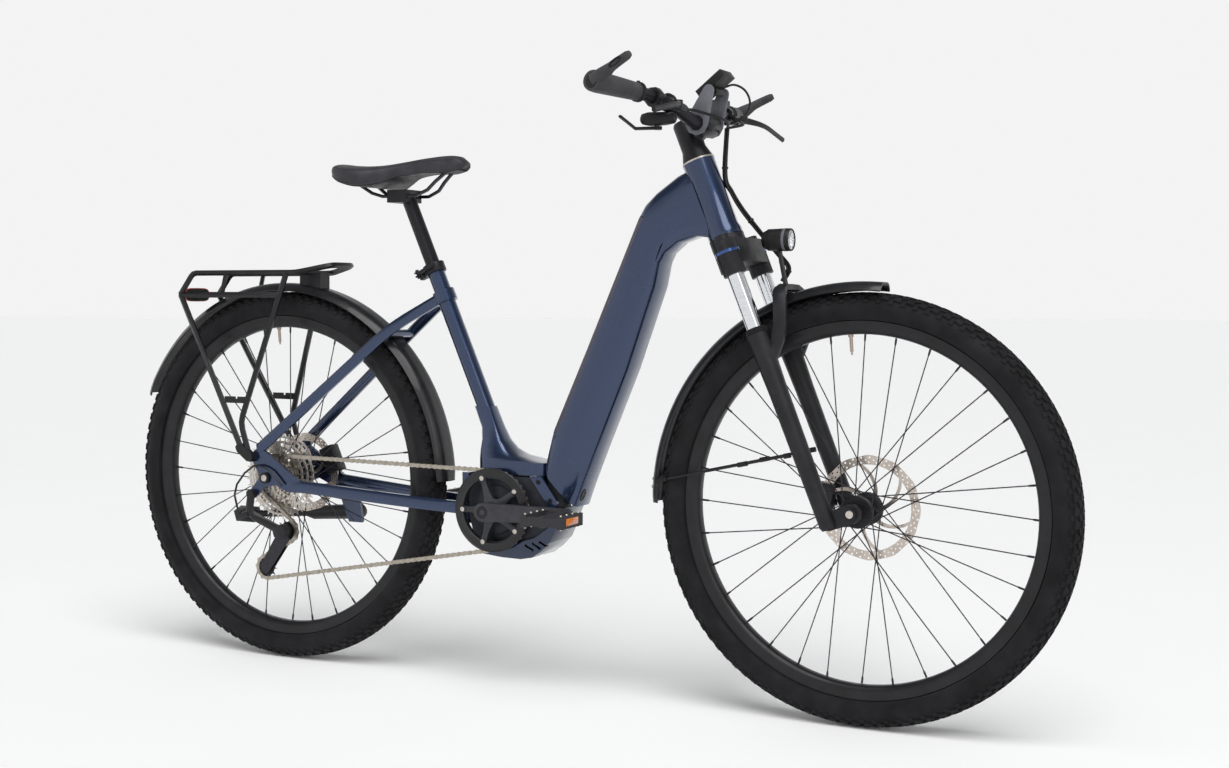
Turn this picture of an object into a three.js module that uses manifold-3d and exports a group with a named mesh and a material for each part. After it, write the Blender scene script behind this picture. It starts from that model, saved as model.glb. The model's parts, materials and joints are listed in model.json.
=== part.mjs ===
// Step-through touring bicycle with an electric mid drive.
// Millimetres. X points forward, Y to the rider's left and Z up.
// The drive side is the side at negative Y.
import * as THREE from "three";
import { mergeVertices } from "three/addons/utils/BufferGeometryUtils.js";
import Module from "manifold-3d";

const wasm = await Module();
wasm.setup();

const degrees = THREE.MathUtils.degToRad;

// Clearances shared by all pieces
const gap = 0.3;
const overrun = 5;
const weldDistance = 0.0005;

// Wheels and stance
const tyreWidth = 60;
const tyreTreadWidth = 20;
const rimSeatRadius = 311;
const rimFlangeHeight = 8;
const rimOuterRadius = rimSeatRadius + rimFlangeHeight;
const rimDepth = 15;
const rimInnerRadius = rimSeatRadius - rimDepth;
const tyreHeight = 49;
const tyreRadius = rimOuterRadius + tyreHeight;
const rimWidth = 33;
const rimInnerWidth = 24;
const rimWall = 2.6;
const tyreBulgeShare = 0.45;
const tyreShoulderShare = 0.86;
const tyreShoulderWidthShare = 0.78;
const wheelFacets = 32;
const broadFacets = 14;
const roundFacets = 10;
const slimFacets = 8;
const spokeCount = 32;
const spokeRadius = 1;
const spokeLean = 1.7;
const rotorBandWidth = 16;
const rotorCarrierRadius = 24;
const rotorThickness = 1.8;
const rotorArmCount = 6;
const rotorArmWidth = 7;
const rotorFacets = 22;
const hubFacets = 12;
const frontRotorRadius = 90;
const rearRotorRadius = 80;
const rotorInset = 15;

// Hubs and axles
const axleRadius = 6;
const axleHeadRadius = 11;
const axleHeadLength = 5;
const frontHubWidth = 100;
const rearHubWidth = 136;
const hubShellRadius = 16;
const hubFlangeRadius = 28;
const hubFlangeThickness = 3.4;
const frontFlangeSpread = 27;
const rearFlangeLeft = 32;
const rearFlangeRight = 19;
const hubEndRadius = 10;
const freehubRadius = 12.7;

// Frame layout
// The stays reach past the tyre, and the front tyre keeps clear of the frame.
const chainStayClearance = 140;
const chainStayLength = tyreRadius + chainStayClearance;
const frontClearance = 324;
const wheelBase = chainStayLength + tyreRadius + frontClearance;
// Up the steering axis: tyre, mudguard, fork arch, crown, head tube.
const mudguardClearance = 16;
const mudguardRadius = tyreRadius + mudguardClearance;
const archClearance = 12;
const archTop = mudguardRadius + archClearance;
const crownClearance = 48;
const crownBottom = archTop + crownClearance;
const crownHeight = 77;
const bottomBracketDrop = 36;
const headAngle = degrees(68);
const forkOffset = 60;
const axleToHeadTube = crownBottom + crownHeight;
const headTubeLength = 143;
const headTubeRadius = 28.5;
const headTubeLowerRadius = 31;
const headTubeLipHeight = 9;
const seatAngle = degrees(66.3);
const seatBaseHeight = 128;
const seatBaseSetback = 19;
const seatTubeLength = 356;
const seatTubeRadius = 16.5;
const seatPostRadius = 13.6;
const seatPostInsertion = 130;
const seatBoreDepth = 240;

// Down tube, with stations as shares of the line from its foot to the head tube
const downTubeFootAhead = 122;
const downTubeFootUp = 48;
const downTubeDepth = 96;
const downTubeWidth = 84;
const downTubeStationShares = [
  { along: 1.043, rise: 0.097, depth: 1.34, width: 0.6, tilt: degrees(-38) },
  { along: 1.007, rise: 0.122, depth: 1.15, width: 0.66, tilt: degrees(-40) },
  { along: 0.936, rise: 0.154, depth: 1.01, width: 0.84, tilt: degrees(-34) },
  { along: 0.892, rise: 0.1665, depth: 0.99, width: 0.92, tilt: degrees(-36) },
  { along: 0.851, rise: 0.1664, depth: 0.97, width: 0.97, tilt: degrees(-34) },
  { along: 0.69, rise: 0.15, depth: 0.84, width: 1, tilt: degrees(2) },
  { along: 0.419, rise: 0.124, depth: 0.96, width: 1, tilt: degrees(6) },
  { along: 0.146, rise: 0.099, depth: 1, width: 1, tilt: degrees(7) },
  { along: 0.038, rise: 0.069, depth: 0.9, width: 1, tilt: degrees(6) },
  { along: 0.02, rise: 0.058, depth: 0.93, width: 1, tilt: degrees(-15) },
];
const downTubeOutlineShares = [
  [0, 0.5],
  [0.06, 0.78],
  [0.2, 0.97],
  [0.52, 1],
  [0.82, 0.92],
  [0.96, 0.76],
  [1, 0.55],
];

// Battery and its cover in the rear face of the down tube
const batteryLength = 404;
const batteryWidth = 64;
const batteryDepth = 50;
const batteryClearance = 2;
const batteryHeadroom = 8;
const coverLength = 424;
const coverDepth = 15;
const coverEndGap = 2;

// Yoke between seat tube and down tube
const yokeFloor = 66;
const yokeRear = 46;
const yokeHalfWidth = 38;
const yokeJoint = 66;
const yokeShares = [
  { height: 1, rear: 0, front: 0, width: 0 },
  { height: 0.68, rear: 0.4, front: 0, width: 0.1 },
  { height: 0.5, rear: 0.8, front: 0.01, width: 0.3 },
  { height: 0.36, rear: 1, front: 0.1, width: 0.52 },
  { height: 0.27, rear: 1, front: 0.3, width: 0.7 },
  { height: 0.22, rear: 1, front: 0.66, width: 0.86 },
  { height: 0.19, rear: 1, front: 1.04, width: 0.95 },
  { height: 0, rear: 1, front: 1.04, width: 1 },
];
const cornerShares = [
  [1, 0.45],
  [0.92, 0.8],
  [0.7, 1],
];

// Chain stays and dropouts
const cradleThickness = 14;
const cradleDrop = 30;
const cradleHalfWidth = 37;
const chainStayRadius = 12.5;
const chainStayHalfWidth = 8;
const chainStayFrontSpread = 32;
const chainStayMidSpread = 50;
const chainStayMidAhead = 325;
const chainStayRearAhead = 66;
const dropoutThickness = 7;
const dropoutReach = 60;
const dropoutShares = [
  [-0.58, 0.78],
  [-0.3, 1],
  [0, 0.86],
  [1.4, -0.06],
  [1.36, -0.42],
  [0.88, -0.42],
  [0.36, -0.2],
  [0.2, -0.28],
  [-0.08, -0.3],
  [-0.27, -0.16],
  [-0.27, 0.1],
  [-0.5, 0.46],
];
const hangerBehind = 33;
const hangerBelow = 33;
const hangerRadius = 10;
const hangerThickness = 5;

// Seat stays
const seatStayRadius = 11;
const seatStayHalfWidth = 7.5;
const seatStayDrop = 67;
const seatStayHeight = seatTubeLength - seatStayDrop;
const seatStayShoulder = 44;
const seatStayFootBehind = 17;
const seatStayFootUp = 56;
const bridgeRadius = 8;
const bridgeAngle = degrees(47);

// Motor, its outline as shares of its span
const motorSpan = 150;
const motorHalfWidth = 37;
const motorShares = [
  [-0.4, -0.1],
  [-0.4, 0.16],
  [-0.33, 0.32],
  [-0.18, 0.42],
  [0.56, 0.42],
  [0.76, 0.16],
  [0.8, -0.03],
  [0.73, -0.27],
  [0.54, -0.44],
  [0.08, -0.53],
  [-0.17, -0.51],
  [-0.33, -0.34],
];
const motorDiscRadius = 46;
const motorDiscDepth = 4;
const bellyHalfWidth = 42.5;
const bellyShares = [
  [-0.2, -0.555],
  [0.09, -0.585],
  [0.36, -0.59],
  [0.52, -0.56],
  [0.65, -0.47],
  [0.77, -0.35],
  [0.84, -0.21],
  [0.9, -0.05],
  [0.95, 0.07],
  [0.87, 0.06],
  [0.74, -0.18],
  [0.56, -0.31],
  [0.27, -0.4],
  [-0.07, -0.44],
  [-0.28, -0.44],
];
const ventCount = 3;
const ventLength = 20;
const ventHeight = 4;
const ventPitch = 15;
const ventAhead = 72;
const ventBelow = 66;
const ventTilt = degrees(28);

// Drive train
const chainPitch = 12.7;
const chainRingTeeth = 36;
const chainRingOffset = 50;
const sprocketTeeth = [11, 13, 15, 18, 21, 24, 28, 32, 37, 42];
const sprocketInUse = 4;
const sprocketPitch = 3.95;
const sprocketThickness = 1.6;
const smallSprocketOffset = 62;
const toothTipRise = 2.6;
const toothRootDrop = 4.7;
const toothRootHalfWidth = 1.7;
const ringThickness = 1.7;
const ringInnerRadius = 58;
const guardInnerRadius = 60;
const guardStepRadius = 66;
const guardOuterRadius = 78;
const guardClearance = 3.6;
const guardThickness = 3.4;
const guardFacets = 20;
const plainSprocketFacets = 18;
const spiderHubRadius = 22;
const spiderThickness = 5;
const spiderArmCount = 5;
const spiderArmRootWidth = 20;
const spiderArmTipWidth = 12;
const cassetteCoreRadius = 16.6;
const coreFacets = 8;
const spindleRadius = 12;
const crankLength = 172.5;
const crankAngle = degrees(1);
const crankThickness = 13;
const crankOuterOffset = 90;
const crankBossRadius = 17;
const crankTipRadius = 13;
const pedalAxleRadius = 4.5;
const pedalLength = 82;
const pedalWidth = 78;
const pedalHeight = 22;
const pedalRail = 11;
const pedalHubRadius = 11;
const pedalInset = 8;
const jockeyTeeth = 11;
const jockeyBoreRadius = 3;
const cageLength = 92;
const cagePlateThickness = 2;
const cageHalfGap = 4.4;
const cageEndRadius = 15;
const upperJockeyAhead = 31;
const upperJockeyBelow = 106;
const chainPlateHeight = 8.2;
const chainRollerLength = 6.4;
const chainInnerHalf = 1.15;
const chainPlateThickness = 1.4;

// Derailleur body
const derailleurKnuckleRadius = 15;
const derailleurDepth = 22;
const derailleurArmWidth = 26;
const housingRadius = 2.2;

// Seat and clamp
const clampRadius = 21;
const clampHeight = 18;
const clampEarLength = 16;
const clampEarWidth = 14;
const clampLeverLength = 48;
const clampLeverWidth = 9;
const clampLeverThickness = 5;
const clampBoltRadius = 2.5;
const clampPinRadius = 3.5;
const clampPinOffset = 20;
const postExposed = 130;
const postHeadLength = 44;
const postHeadWidth = 52;
const postHeadHeight = 24;
const postHeadSetback = 8;
const railRadius = 3.5;
const railSpread = 22;
const railLength = 228;
const saddleLength = 280;
const saddleWidth = 162;
const saddleSetback = 145;
const saddleShares = [
  { along: 0, width: 0.45, top: 0.83, edge: 0.6, base: 0.6 },
  { along: 0.05, width: 0.8, top: 0.86, edge: 0.5, base: 0.5 },
  { along: 0.12, width: 0.96, top: 0.83, edge: 0.36, base: 0.44 },
  { along: 0.24, width: 1, top: 0.8, edge: 0.24, base: 0.42 },
  { along: 0.33, width: 0.92, top: 0.79, edge: 0.24, base: 0.44 },
  { along: 0.42, width: 0.7, top: 0.81, edge: 0.32, base: 0.46 },
  { along: 0.54, width: 0.48, top: 0.87, edge: 0.48, base: 0.53 },
  { along: 0.7, width: 0.36, top: 0.95, edge: 0.55, base: 0.58 },
  { along: 0.86, width: 0.3, top: 0.99, edge: 0.54, base: 0.58 },
  { along: 0.95, width: 0.26, top: 0.95, edge: 0.6, base: 0.64 },
  { along: 1, width: 0.14, top: 0.82, edge: 0.68, base: 0.7 },
];
const railShares = [
  { along: 0, height: 0.54, spread: 1.7 },
  { along: 0.114, height: 0.3, spread: 1.36 },
  { along: 0.263, height: 0, spread: 1 },
  { along: 0.715, height: 0, spread: 1 },
  { along: 0.86, height: 0.45, spread: 0.64 },
  { along: 1, height: 0.72, spread: 0.32 },
];
const railSetback = 115;
const saddleHeight = 75;

// Fork
const crownOffset = 16;
const stanchionSpread = 62;
const stanchionRadius = 15;
const stanchionInsertion = 44;
const crownSocketRadius = 21;
const crownBridgeHeight = 44;
const crownShoulder = 16;
const crownKnobRadius = 13;
const crownKnobHeight = 9;
const steererLowerRadius = 19;
const steererRadius = 14.3;
const steererTaperShare = 0.6;
const archRise = 59;
const lowersTop = archTop - archRise;
const forkTravel = 75;
const legRadius = 16.5;
const legTopRadius = 19;
const legCollarHeight = 26;
const legFootRadius = 14.5;
const legFootBelow = 12;
const legBoreDepth = 150;
const archAhead = 72;
const archDepth = 26;
const archThickness = 12;
const archShoulder = 40;
const archFootDrop = 47;
const archFoot = lowersTop - archFootDrop;
const archHalfShare = 0.72;
const axleBossRadius = 17;
const forkDropoutThickness = 12;

// Mudguards
const mudguardWidth = 64;
const mudguardDrop = 14;
const mudguardWall = 2.4;
const mudguardPadWidth = 18;
const frontMudguardStart = degrees(84.5);
const frontMudguardEnd = degrees(181);
const rearMudguardStart = degrees(1);
const rearMudguardEnd = degrees(156);
const mudguardStationCount = 13;
const mudguardArcShares = [-1, -0.8, -0.3, 0.3, 0.8, 1];
const mudguardSagShares = [1, 0.28, 0, 0, 0.28, 1];
const stayRodRadius = 2.5;
const stayRodAngle = degrees(174.8);
const stayLegHeight = 126;

// Rack
const rackClearance = 20;
const rackTopHeight = mudguardRadius + rackClearance;
const rackRailDrop = 44;
const rackRailHeight = rackTopHeight - rackRailDrop;
const rackHalfWidth = 58;
const rackRearReach = 226;
const rackShoulderReach = 192;
const rackFrontReach = 66;
const rackNoseReach = 154;
const rackNoseRise = 14;
const rackNoseHalfWidth = 30;
const rackTubeRadius = 6;
const rackFootSpread = 81;
const rackFootBehind = 38;
const rackFootUp = 52;
const rackKneeBehind = 56;
const rackKneeUp = 108;
const rackLegTopAhead = 42;
const rackHoopBehind = 108;
const rackWebHeight = 152;
const rackWebBand = 13;
const rackWebThickness = 3;
const rackBlockLength = 50;
const rackBlockWidth = 30;
const lampPlateLength = 70;
const lampPlateThickness = 4;
const tailLightWidth = 74;
const tailLightHeight = 28;
const tailLightDepth = 20;

// Brake calipers
const caliperLength = 54;
const caliperInner = 9;
const caliperOuter = 17;
const caliperDepth = 30;
const caliperSlot = 3.6;
const frontCaliperAngle = degrees(172);
const rearCaliperAngle = degrees(24);
const caliperOverlap = 20;

// Side stand, folded back
const standHingeAhead = 96;
const standHingeBelow = 80;
const standHingeSpread = 99;
const standLength = 292;
const standRadius = 7.5;
const standFootLength = 50;
const standFootWidth = 26;
const standFootThickness = 24;
const standHeadRadius = 17;
const standHeadThickness = 16;
const standDrop = 26;
const standCant = degrees(20.7);

// Cockpit
const barRiseAlong = 54;
const barAlong = axleToHeadTube + headTubeLength + barRiseAlong;
const barAhead = 34;
const barClampRadius = 15.9;
const barGripRadius = 11.1;
const barRoute = [
  [0, 34, 0],
  [-4, 62, 6],
  [-18, 110, 28],
  [-33, 180, 37],
  [-65, 294, 46],
];
const stemColumnRadius = 21.5;
const stemColumnRise = 75;
const stemColumnTop = axleToHeadTube + headTubeLength + stemColumnRise;
const stemClampRadius = 21;
const stemClampHalfWidth = 26;
const stemArmWidth = 34;
const gripInner = 186;
const gripRadiusInner = 15.5;
const gripRadiusOuter = 17;
const gripPalm = 10;
const gripEndThickness = 12;
const hornLength = 84;
const hornRadius = 9;
const hornRootRadius = 15;
const hornRise = degrees(30);
const hornSlotLength = 20;
const hornSlotWidth = 5;
const brakeClampOffset = 148;
const brakeClampRadius = 17;
const brakeClampWidth = 13;
const brakeBodyLength = 62;
const brakeBodyRadius = 9.5;
const brakeBodyAhead = 31;
const brakeBodyDrop = 12;
const tankInboardShare = 0.62;
const tankOutboardShare = 0.2;
const tankTaperShare = 0.7;
const leverLength = 140;
const leverWidth = 13;
const leverWaistShare = 0.25;
const leverTipShare = 0.8;
const leverThickness = 8;
const leverHingeRadius = 8;
const leverForward = 22;
const leverSag = 24;
const shifterOffset = 112;
const shifterLength = 36;
const shifterWidth = 56;
const shifterHeight = 26;
const shifterDrop = 26;
const shifterSetback = 18;
const shiftPaddleLength = 44;
const shiftPaddleWidth = 14;
const shiftPaddleThickness = 6;
const shiftPaddleRise = 18;
const remoteWidth = 34;
const remoteLength = 36;
const remoteThickness = 14;
const bracketArmWidth = 19;
const bracketArmThickness = 5;
const bracketHalfWidth = 30;
const bracketHeight = 56;
const bracketLean = 22;
const displayLength = 58;
const displayWidth = 48;
const displayThickness = 14;
const displayTilt = degrees(38);
const displayPivotRadius = 4;

// Head light
const headLightRise = 84;
const headLightAlong = archTop + headLightRise;
const headLightAhead = 86;
const headLightFootShare = 0.75;
const headLightRadius = 19.5;
const headLightLength = 52;
const headLightBracketWidth = 18;
const headLightBracketThickness = 5;

// Control cables
const cableRadius = 2.6;
const bundleRadius = 5;
const bundleSide = 12;
const bundleRise = 34;
const bundleTop = axleToHeadTube + headTubeLength + bundleRise;
const bundleTopAhead = 67;
const hoseLead = 20;
const bundleRoute = [
  [axleToHeadTube + 33, 40, 16],
  [axleToHeadTube - 20, 56, 24],
  [archTop + 64, 69, 29],
  [archTop + 36, 76, 30],
  [archTop + 19, 58, 30],
];

// Colours of the finishes
const finishes = {
  frame: { color: 0x27344f, roughness: 0.28, metalness: 0.45 },
  black: { color: 0x1b1b1d, roughness: 0.55, metalness: 0.1 },
  anodised: { color: 0x2a2a2d, roughness: 0.4, metalness: 0.6 },
  rubber: { color: 0x17171a, roughness: 0.85, metalness: 0 },
  steel: { color: 0xb8b2a8, roughness: 0.35, metalness: 0.9 },
  chrome: { color: 0xe2e4e8, roughness: 0.12, metalness: 1 },
  cover: { color: 0x6b6670, roughness: 0.7, metalness: 0.05 },
  leather: { color: 0x26262a, roughness: 0.6, metalness: 0 },
  red: { color: 0xc22020, roughness: 0.3, metalness: 0 },
  lamp: { color: 0x303236, roughness: 0.4, metalness: 0.1 },
};

const across = new THREE.Vector3(0, 1, 0);
const ahead = new THREE.Vector3(1, 0, 0);
const upright = new THREE.Vector3(0, 0, 1);

function at(x, y, z) {
  return new THREE.Vector3(x, y, z);
}

function between(a, b, share) {
  return a.clone().lerp(b, share);
}

function moved(point, x, y, z) {
  return at(point.x + x, point.y + y, point.z + z);
}

// Joins shared corners, drops empty faces and turns the faces outward.
function weld(geometry) {
  const loose = geometry.index ? geometry.toNonIndexed() : geometry.clone();
  loose.deleteAttribute("normal");
  loose.deleteAttribute("uv");
  const merged = mergeVertices(loose, weldDistance);
  const corners = merged.index.array;
  const faces = [];
  for (let i = 0; i < corners.length; i += 3) {
    const face = [corners[i], corners[i + 1], corners[i + 2]];
    if (new Set(face).size === 3) {
      faces.push(...face);
    }
  }
  const places = merged.attributes.position;
  const a = at(0, 0, 0);
  const b = at(0, 0, 0);
  const c = at(0, 0, 0);
  let volume = 0;
  for (let i = 0; i < faces.length; i += 3) {
    a.fromBufferAttribute(places, faces[i]);
    b.fromBufferAttribute(places, faces[i + 1]);
    c.fromBufferAttribute(places, faces[i + 2]);
    volume += a.dot(b.cross(c));
  }
  merged.setIndex(volume < 0 ? faces.reverse() : faces);
  return merged;
}

function toSolid(geometry) {
  const welded = weld(geometry);
  const vertProperties = new Float32Array(welded.attributes.position.array);
  const triVerts = new Uint32Array(welded.index.array);
  return new wasm.Manifold(new wasm.Mesh({ numProp: 3, vertProperties, triVerts }));
}

function toGeometry(manifold) {
  const mesh = manifold.getMesh();
  const geometry = new THREE.BufferGeometry();
  geometry.setAttribute("position", new THREE.BufferAttribute(mesh.vertProperties, 3));
  geometry.setIndex(new THREE.BufferAttribute(mesh.triVerts, 1));
  return geometry;
}

function join(...geometries) {
  return toGeometry(geometries.map(toSolid).reduce((whole, piece) => whole.add(piece)));
}

function cut(body, ...tools) {
  return toGeometry(tools.map(toSolid).reduce((whole, tool) => whole.subtract(tool), toSolid(body)));
}

function common(first, second) {
  return toGeometry(toSolid(first).intersect(toSolid(second)));
}

// Skins a row of closed rings that have the same number of points.
function loft(rings) {
  const count = rings[0].length;
  const faces = [];
  for (let r = 0; r + 1 < rings.length; r += 1) {
    for (let i = 0; i < count; i += 1) {
      const j = (i + 1) % count;
      const near = r * count;
      const far = near + count;
      faces.push(near + i, near + j, far + i, near + j, far + j, far + i);
    }
  }
  const last = (rings.length - 1) * count;
  for (const [i, j, k] of capFaces(rings[0])) {
    faces.push(k, j, i);
  }
  for (const [i, j, k] of capFaces(rings[rings.length - 1])) {
    faces.push(last + i, last + j, last + k);
  }
  const geometry = new THREE.BufferGeometry().setFromPoints(rings.flat());
  geometry.setIndex(faces);
  return geometry;
}

// Triangles over a flat ring, wound the way the ring runs.
function capFaces(ring) {
  const normal = at(0, 0, 0);
  ring.forEach((point, i) => {
    normal.add(point.clone().cross(ring[(i + 1) % ring.length]));
  });
  normal.normalize();
  const side = Math.abs(normal.y) < 0.9 ? across.clone() : ahead.clone();
  side.addScaledVector(normal, -side.dot(normal)).normalize();
  const rise = normal.clone().cross(side);
  const flat = ring.map((point) => new THREE.Vector2(point.dot(side), point.dot(rise)));
  return THREE.ShapeUtils.triangulateShape(flat, []).map(([i, j, k]) => {
    const turn = flat[j].clone().sub(flat[i]).cross(flat[k].clone().sub(flat[i]));
    return turn > 0 ? [i, j, k] : [k, j, i];
  });
}

// A tube through the points. Its section is upDown high and sideways wide, and
// sideways lies along the reference direction as far as the tube's course allows.
function tube(points, sides, upDown, sideways = upDown, reference = across) {
  const rings = [];
  const count = points.length - 1;
  const heading = at(0, 0, 0);
  let side = reference.clone();
  points.forEach((point, i) => {
    heading.subVectors(points[Math.min(i + 1, count)], points[Math.max(i - 1, 0)]).normalize();
    side = side.clone().addScaledVector(heading, -side.dot(heading)).normalize();
    const rise = heading.clone().cross(side);
    const high = typeof upDown === "number" ? upDown : upDown[i];
    const wide = typeof sideways === "number" ? sideways : sideways[i];
    const ring = [];
    for (let k = 0; k < sides; k += 1) {
      const angle = ((k + 0.5) / sides) * 2 * Math.PI;
      const place = point.clone().addScaledVector(side, wide * Math.cos(angle));
      ring.push(place.addScaledVector(rise, high * Math.sin(angle)));
    }
    rings.push(ring);
  });
  return loft(rings);
}

// Rounds the inner corners of a route, each over a share of its shorter leg.
function rounded(points, share, steps) {
  const route = [points[0]];
  for (let i = 1; i + 1 < points.length; i += 1) {
    const before = points[i - 1].clone().sub(points[i]);
    const after = points[i + 1].clone().sub(points[i]);
    const reach = share * Math.min(before.length(), after.length());
    const start = points[i].clone().addScaledVector(before.normalize(), reach);
    const end = points[i].clone().addScaledVector(after.normalize(), reach);
    const bend = new THREE.QuadraticBezierCurve3(start, points[i], end);
    route.push(...bend.getPoints(steps));
  }
  route.push(points[points.length - 1]);
  return route;
}

// A turned shape. The profile's pairs are radius and height over the start.
function turned(profile, facets, start, direction) {
  const pairs = profile.map(([radius, height]) => new THREE.Vector2(radius, height));
  const shape = new THREE.LatheGeometry(pairs, facets, Math.PI / facets);
  shape.applyQuaternion(new THREE.Quaternion().setFromUnitVectors(across, direction));
  return shape.translate(start.x, start.y, start.z);
}

function rod(start, end, radius, facets) {
  const heading = end.clone().sub(start).normalize();
  const reference = Math.abs(heading.z) > Math.abs(heading.y) ? across : upright;
  return tube([start, end], facets, radius, radius, reference);
}

// The radius of a faceted bore in which a round piece of the given radius turns.
function bore(radius, facets) {
  return (radius + gap) / Math.cos(Math.PI / facets);
}

function bored(start, direction, outer, inner, length, facets) {
  const profile = [[inner, 0], [outer, 0], [outer, length], [inner, length], [inner, 0]];
  return turned(profile, facets, start, direction);
}

// A flat plate with its outline in side view, from one Y to the other.
function plate(outline, from, to, holes = []) {
  const shape = new THREE.Shape(outline.map(([x, z]) => new THREE.Vector2(x, z)));
  for (const hole of holes) {
    shape.holes.push(new THREE.Path(hole.map(([x, z]) => new THREE.Vector2(x, z))));
  }
  const depth = Math.abs(to - from);
  const solid = new THREE.ExtrudeGeometry(shape, { depth, bevelEnabled: false, curveSegments: 1 });
  return solid.rotateX(Math.PI / 2).translate(0, Math.max(from, to), 0);
}

function circle(x, z, radius, count, start = 0) {
  const points = [];
  for (let i = 0; i < count; i += 1) {
    const angle = start + (i / count) * 2 * Math.PI;
    points.push([x + radius * Math.cos(angle), z + radius * Math.sin(angle)]);
  }
  return points;
}

// The outline round two circles, as of a crank arm or a link.
function link(a, radiusA, b, radiusB, count) {
  const course = Math.atan2(b.z - a.z, b.x - a.x);
  const lean = Math.acos((radiusA - radiusB) / Math.hypot(b.x - a.x, b.z - a.z));
  const points = [];
  for (let i = 0; i <= count; i += 1) {
    const angle = course + lean + (i / count) * 2 * (Math.PI - lean);
    points.push([a.x + radiusA * Math.cos(angle), a.z + radiusA * Math.sin(angle)]);
  }
  for (let i = 0; i <= count; i += 1) {
    const angle = course - lean + (i / count) * 2 * lean;
    points.push([b.x + radiusB * Math.cos(angle), b.z + radiusB * Math.sin(angle)]);
  }
  return points;
}

// A block in its own directions: length along, width across, height in the third.
function block(centre, along, sideways, length, width, height) {
  const third = along.clone().cross(sideways).normalize();
  const box = new THREE.BoxGeometry(length, width, height);
  const turn = new THREE.Matrix4().makeBasis(along, sideways, third);
  return box.applyMatrix4(turn.setPosition(centre));
}

// Main points of the layout
const rearAxle = at(0, 0, tyreRadius);
const frontAxle = at(wheelBase, 0, tyreRadius);
const crankRun = Math.sqrt(chainStayLength ** 2 - bottomBracketDrop ** 2);
const crankCentre = at(crankRun, 0, tyreRadius - bottomBracketDrop);
const steerUp = at(-Math.cos(headAngle), 0, Math.sin(headAngle));
const steerAhead = at(Math.sin(headAngle), 0, Math.cos(headAngle));
const steerFoot = frontAxle.clone().addScaledVector(steerAhead, -forkOffset);
const headTubeTop = axleToHeadTube + headTubeLength;
const seatUp = at(-Math.cos(seatAngle), 0, Math.sin(seatAngle));
const seatAhead = at(Math.sin(seatAngle), 0, Math.cos(seatAngle));
const seatBase = moved(crankCentre, -seatBaseSetback, 0, seatBaseHeight);
const rearInner = rearHubWidth / 2;
const frontInner = frontHubWidth / 2;
const standPivot = moved(rearAxle, standHingeAhead, standHingeSpread, -standHingeBelow);
const standAxis = at(0, -Math.cos(standCant), -Math.sin(standCant));
const standRise = at(0, -Math.sin(standCant), Math.cos(standCant));

function onSteer(along, forward = 0, side = 0) {
  const point = steerFoot.clone().addScaledVector(steerUp, along);
  return point.addScaledVector(steerAhead, forward).addScaledVector(across, side);
}

function onSeat(along, forward = 0, side = 0) {
  const point = seatBase.clone().addScaledVector(seatUp, along);
  return point.addScaledVector(seatAhead, forward).addScaledVector(across, side);
}

function round(centre, radius, angle, side = 0) {
  return moved(centre, radius * Math.cos(angle), side, radius * Math.sin(angle));
}

// Wheels
function tyre(centre) {
  const half = tyreWidth / 2;
  const seat = rimSeatRadius + gap;
  const bead = rimWidth / 2 - rimWall - gap;
  const rise = tyreRadius - rimOuterRadius;
  const side = [
    [seat, bead],
    [rimOuterRadius + gap, bead],
    [rimOuterRadius + rise * tyreBulgeShare, half],
    [rimOuterRadius + rise * tyreShoulderShare, half * tyreShoulderWidthShare],
    [tyreRadius, tyreTreadWidth / 2],
  ];
  const other = side.map(([radius, y]) => [radius, -y]).reverse();
  const profile = [...other.slice().reverse(), ...side.slice().reverse()];
  return turned([...profile, profile[0]], wheelFacets, centre, across);
}

function rim(centre) {
  const side = [
    [rimInnerRadius, rimInnerWidth / 2],
    [rimOuterRadius, rimWidth / 2],
    [rimOuterRadius, rimWidth / 2 - rimWall],
    [rimSeatRadius, rimWidth / 2 - rimWall],
  ];
  const other = side.map(([radius, y]) => [radius, -y]);
  const profile = [...other, ...side.slice().reverse()];
  return turned([...profile, profile[0]], wheelFacets, centre, across);
}

// Tangent spokes, each leaning past its neighbour in its own plane.
function spokes(centre, flangeLeft, flangeRight) {
  const pieces = [];
  const reach = rimInnerRadius * Math.cos(Math.PI / wheelFacets) - gap;
  const holeRadius = hubFlangeRadius - hubFlangeThickness;
  for (let i = 0; i < spokeCount; i += 1) {
    const left = i % 2 === 0;
    const forward = Math.floor(i / 2) % 2 === 0 ? 1 : -1;
    const rimAngle = (i / spokeCount) * 2 * Math.PI;
    const hubAngle = rimAngle + forward * Math.acos(holeRadius / reach) * 0.82;
    const lean = spokeLean * forward;
    const start = round(centre, holeRadius, hubAngle, (left ? flangeLeft : -flangeRight) + lean);
    const end = round(centre, reach, rimAngle, (left ? rimInnerWidth : -rimInnerWidth) / 5 + lean);
    pieces.push(tube([start, end], 3, spokeRadius));
  }
  return pieces;
}

function hub(centre, halfWidth, flangeLeft, flangeRight, rotorPlane, rightShaft) {
  const flange = hubFlangeThickness / 2 + spokeLean;
  const profile = [
    [bore(axleRadius, hubFacets), -halfWidth + gap],
    [rightShaft, -halfWidth + gap],
    [rightShaft, -flangeRight - flange],
    [hubShellRadius, -flangeRight - flange],
    [hubFlangeRadius, -flangeRight - flange],
    [hubFlangeRadius, -flangeRight + flange],
    [hubShellRadius, -flangeRight + flange],
    [hubShellRadius, flangeLeft - flange],
    [hubFlangeRadius, flangeLeft - flange],
    [hubFlangeRadius, rotorPlane - gap],
    [hubEndRadius + gap, rotorPlane - gap],
    [hubEndRadius, halfWidth - gap],
    [bore(axleRadius, hubFacets), halfWidth - gap],
    [bore(axleRadius, hubFacets), -halfWidth + gap],
  ];
  const shell = turned(profile, hubFacets, centre, across);
  return join(shell, ...spokes(centre, flangeLeft, flangeRight));
}

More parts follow.
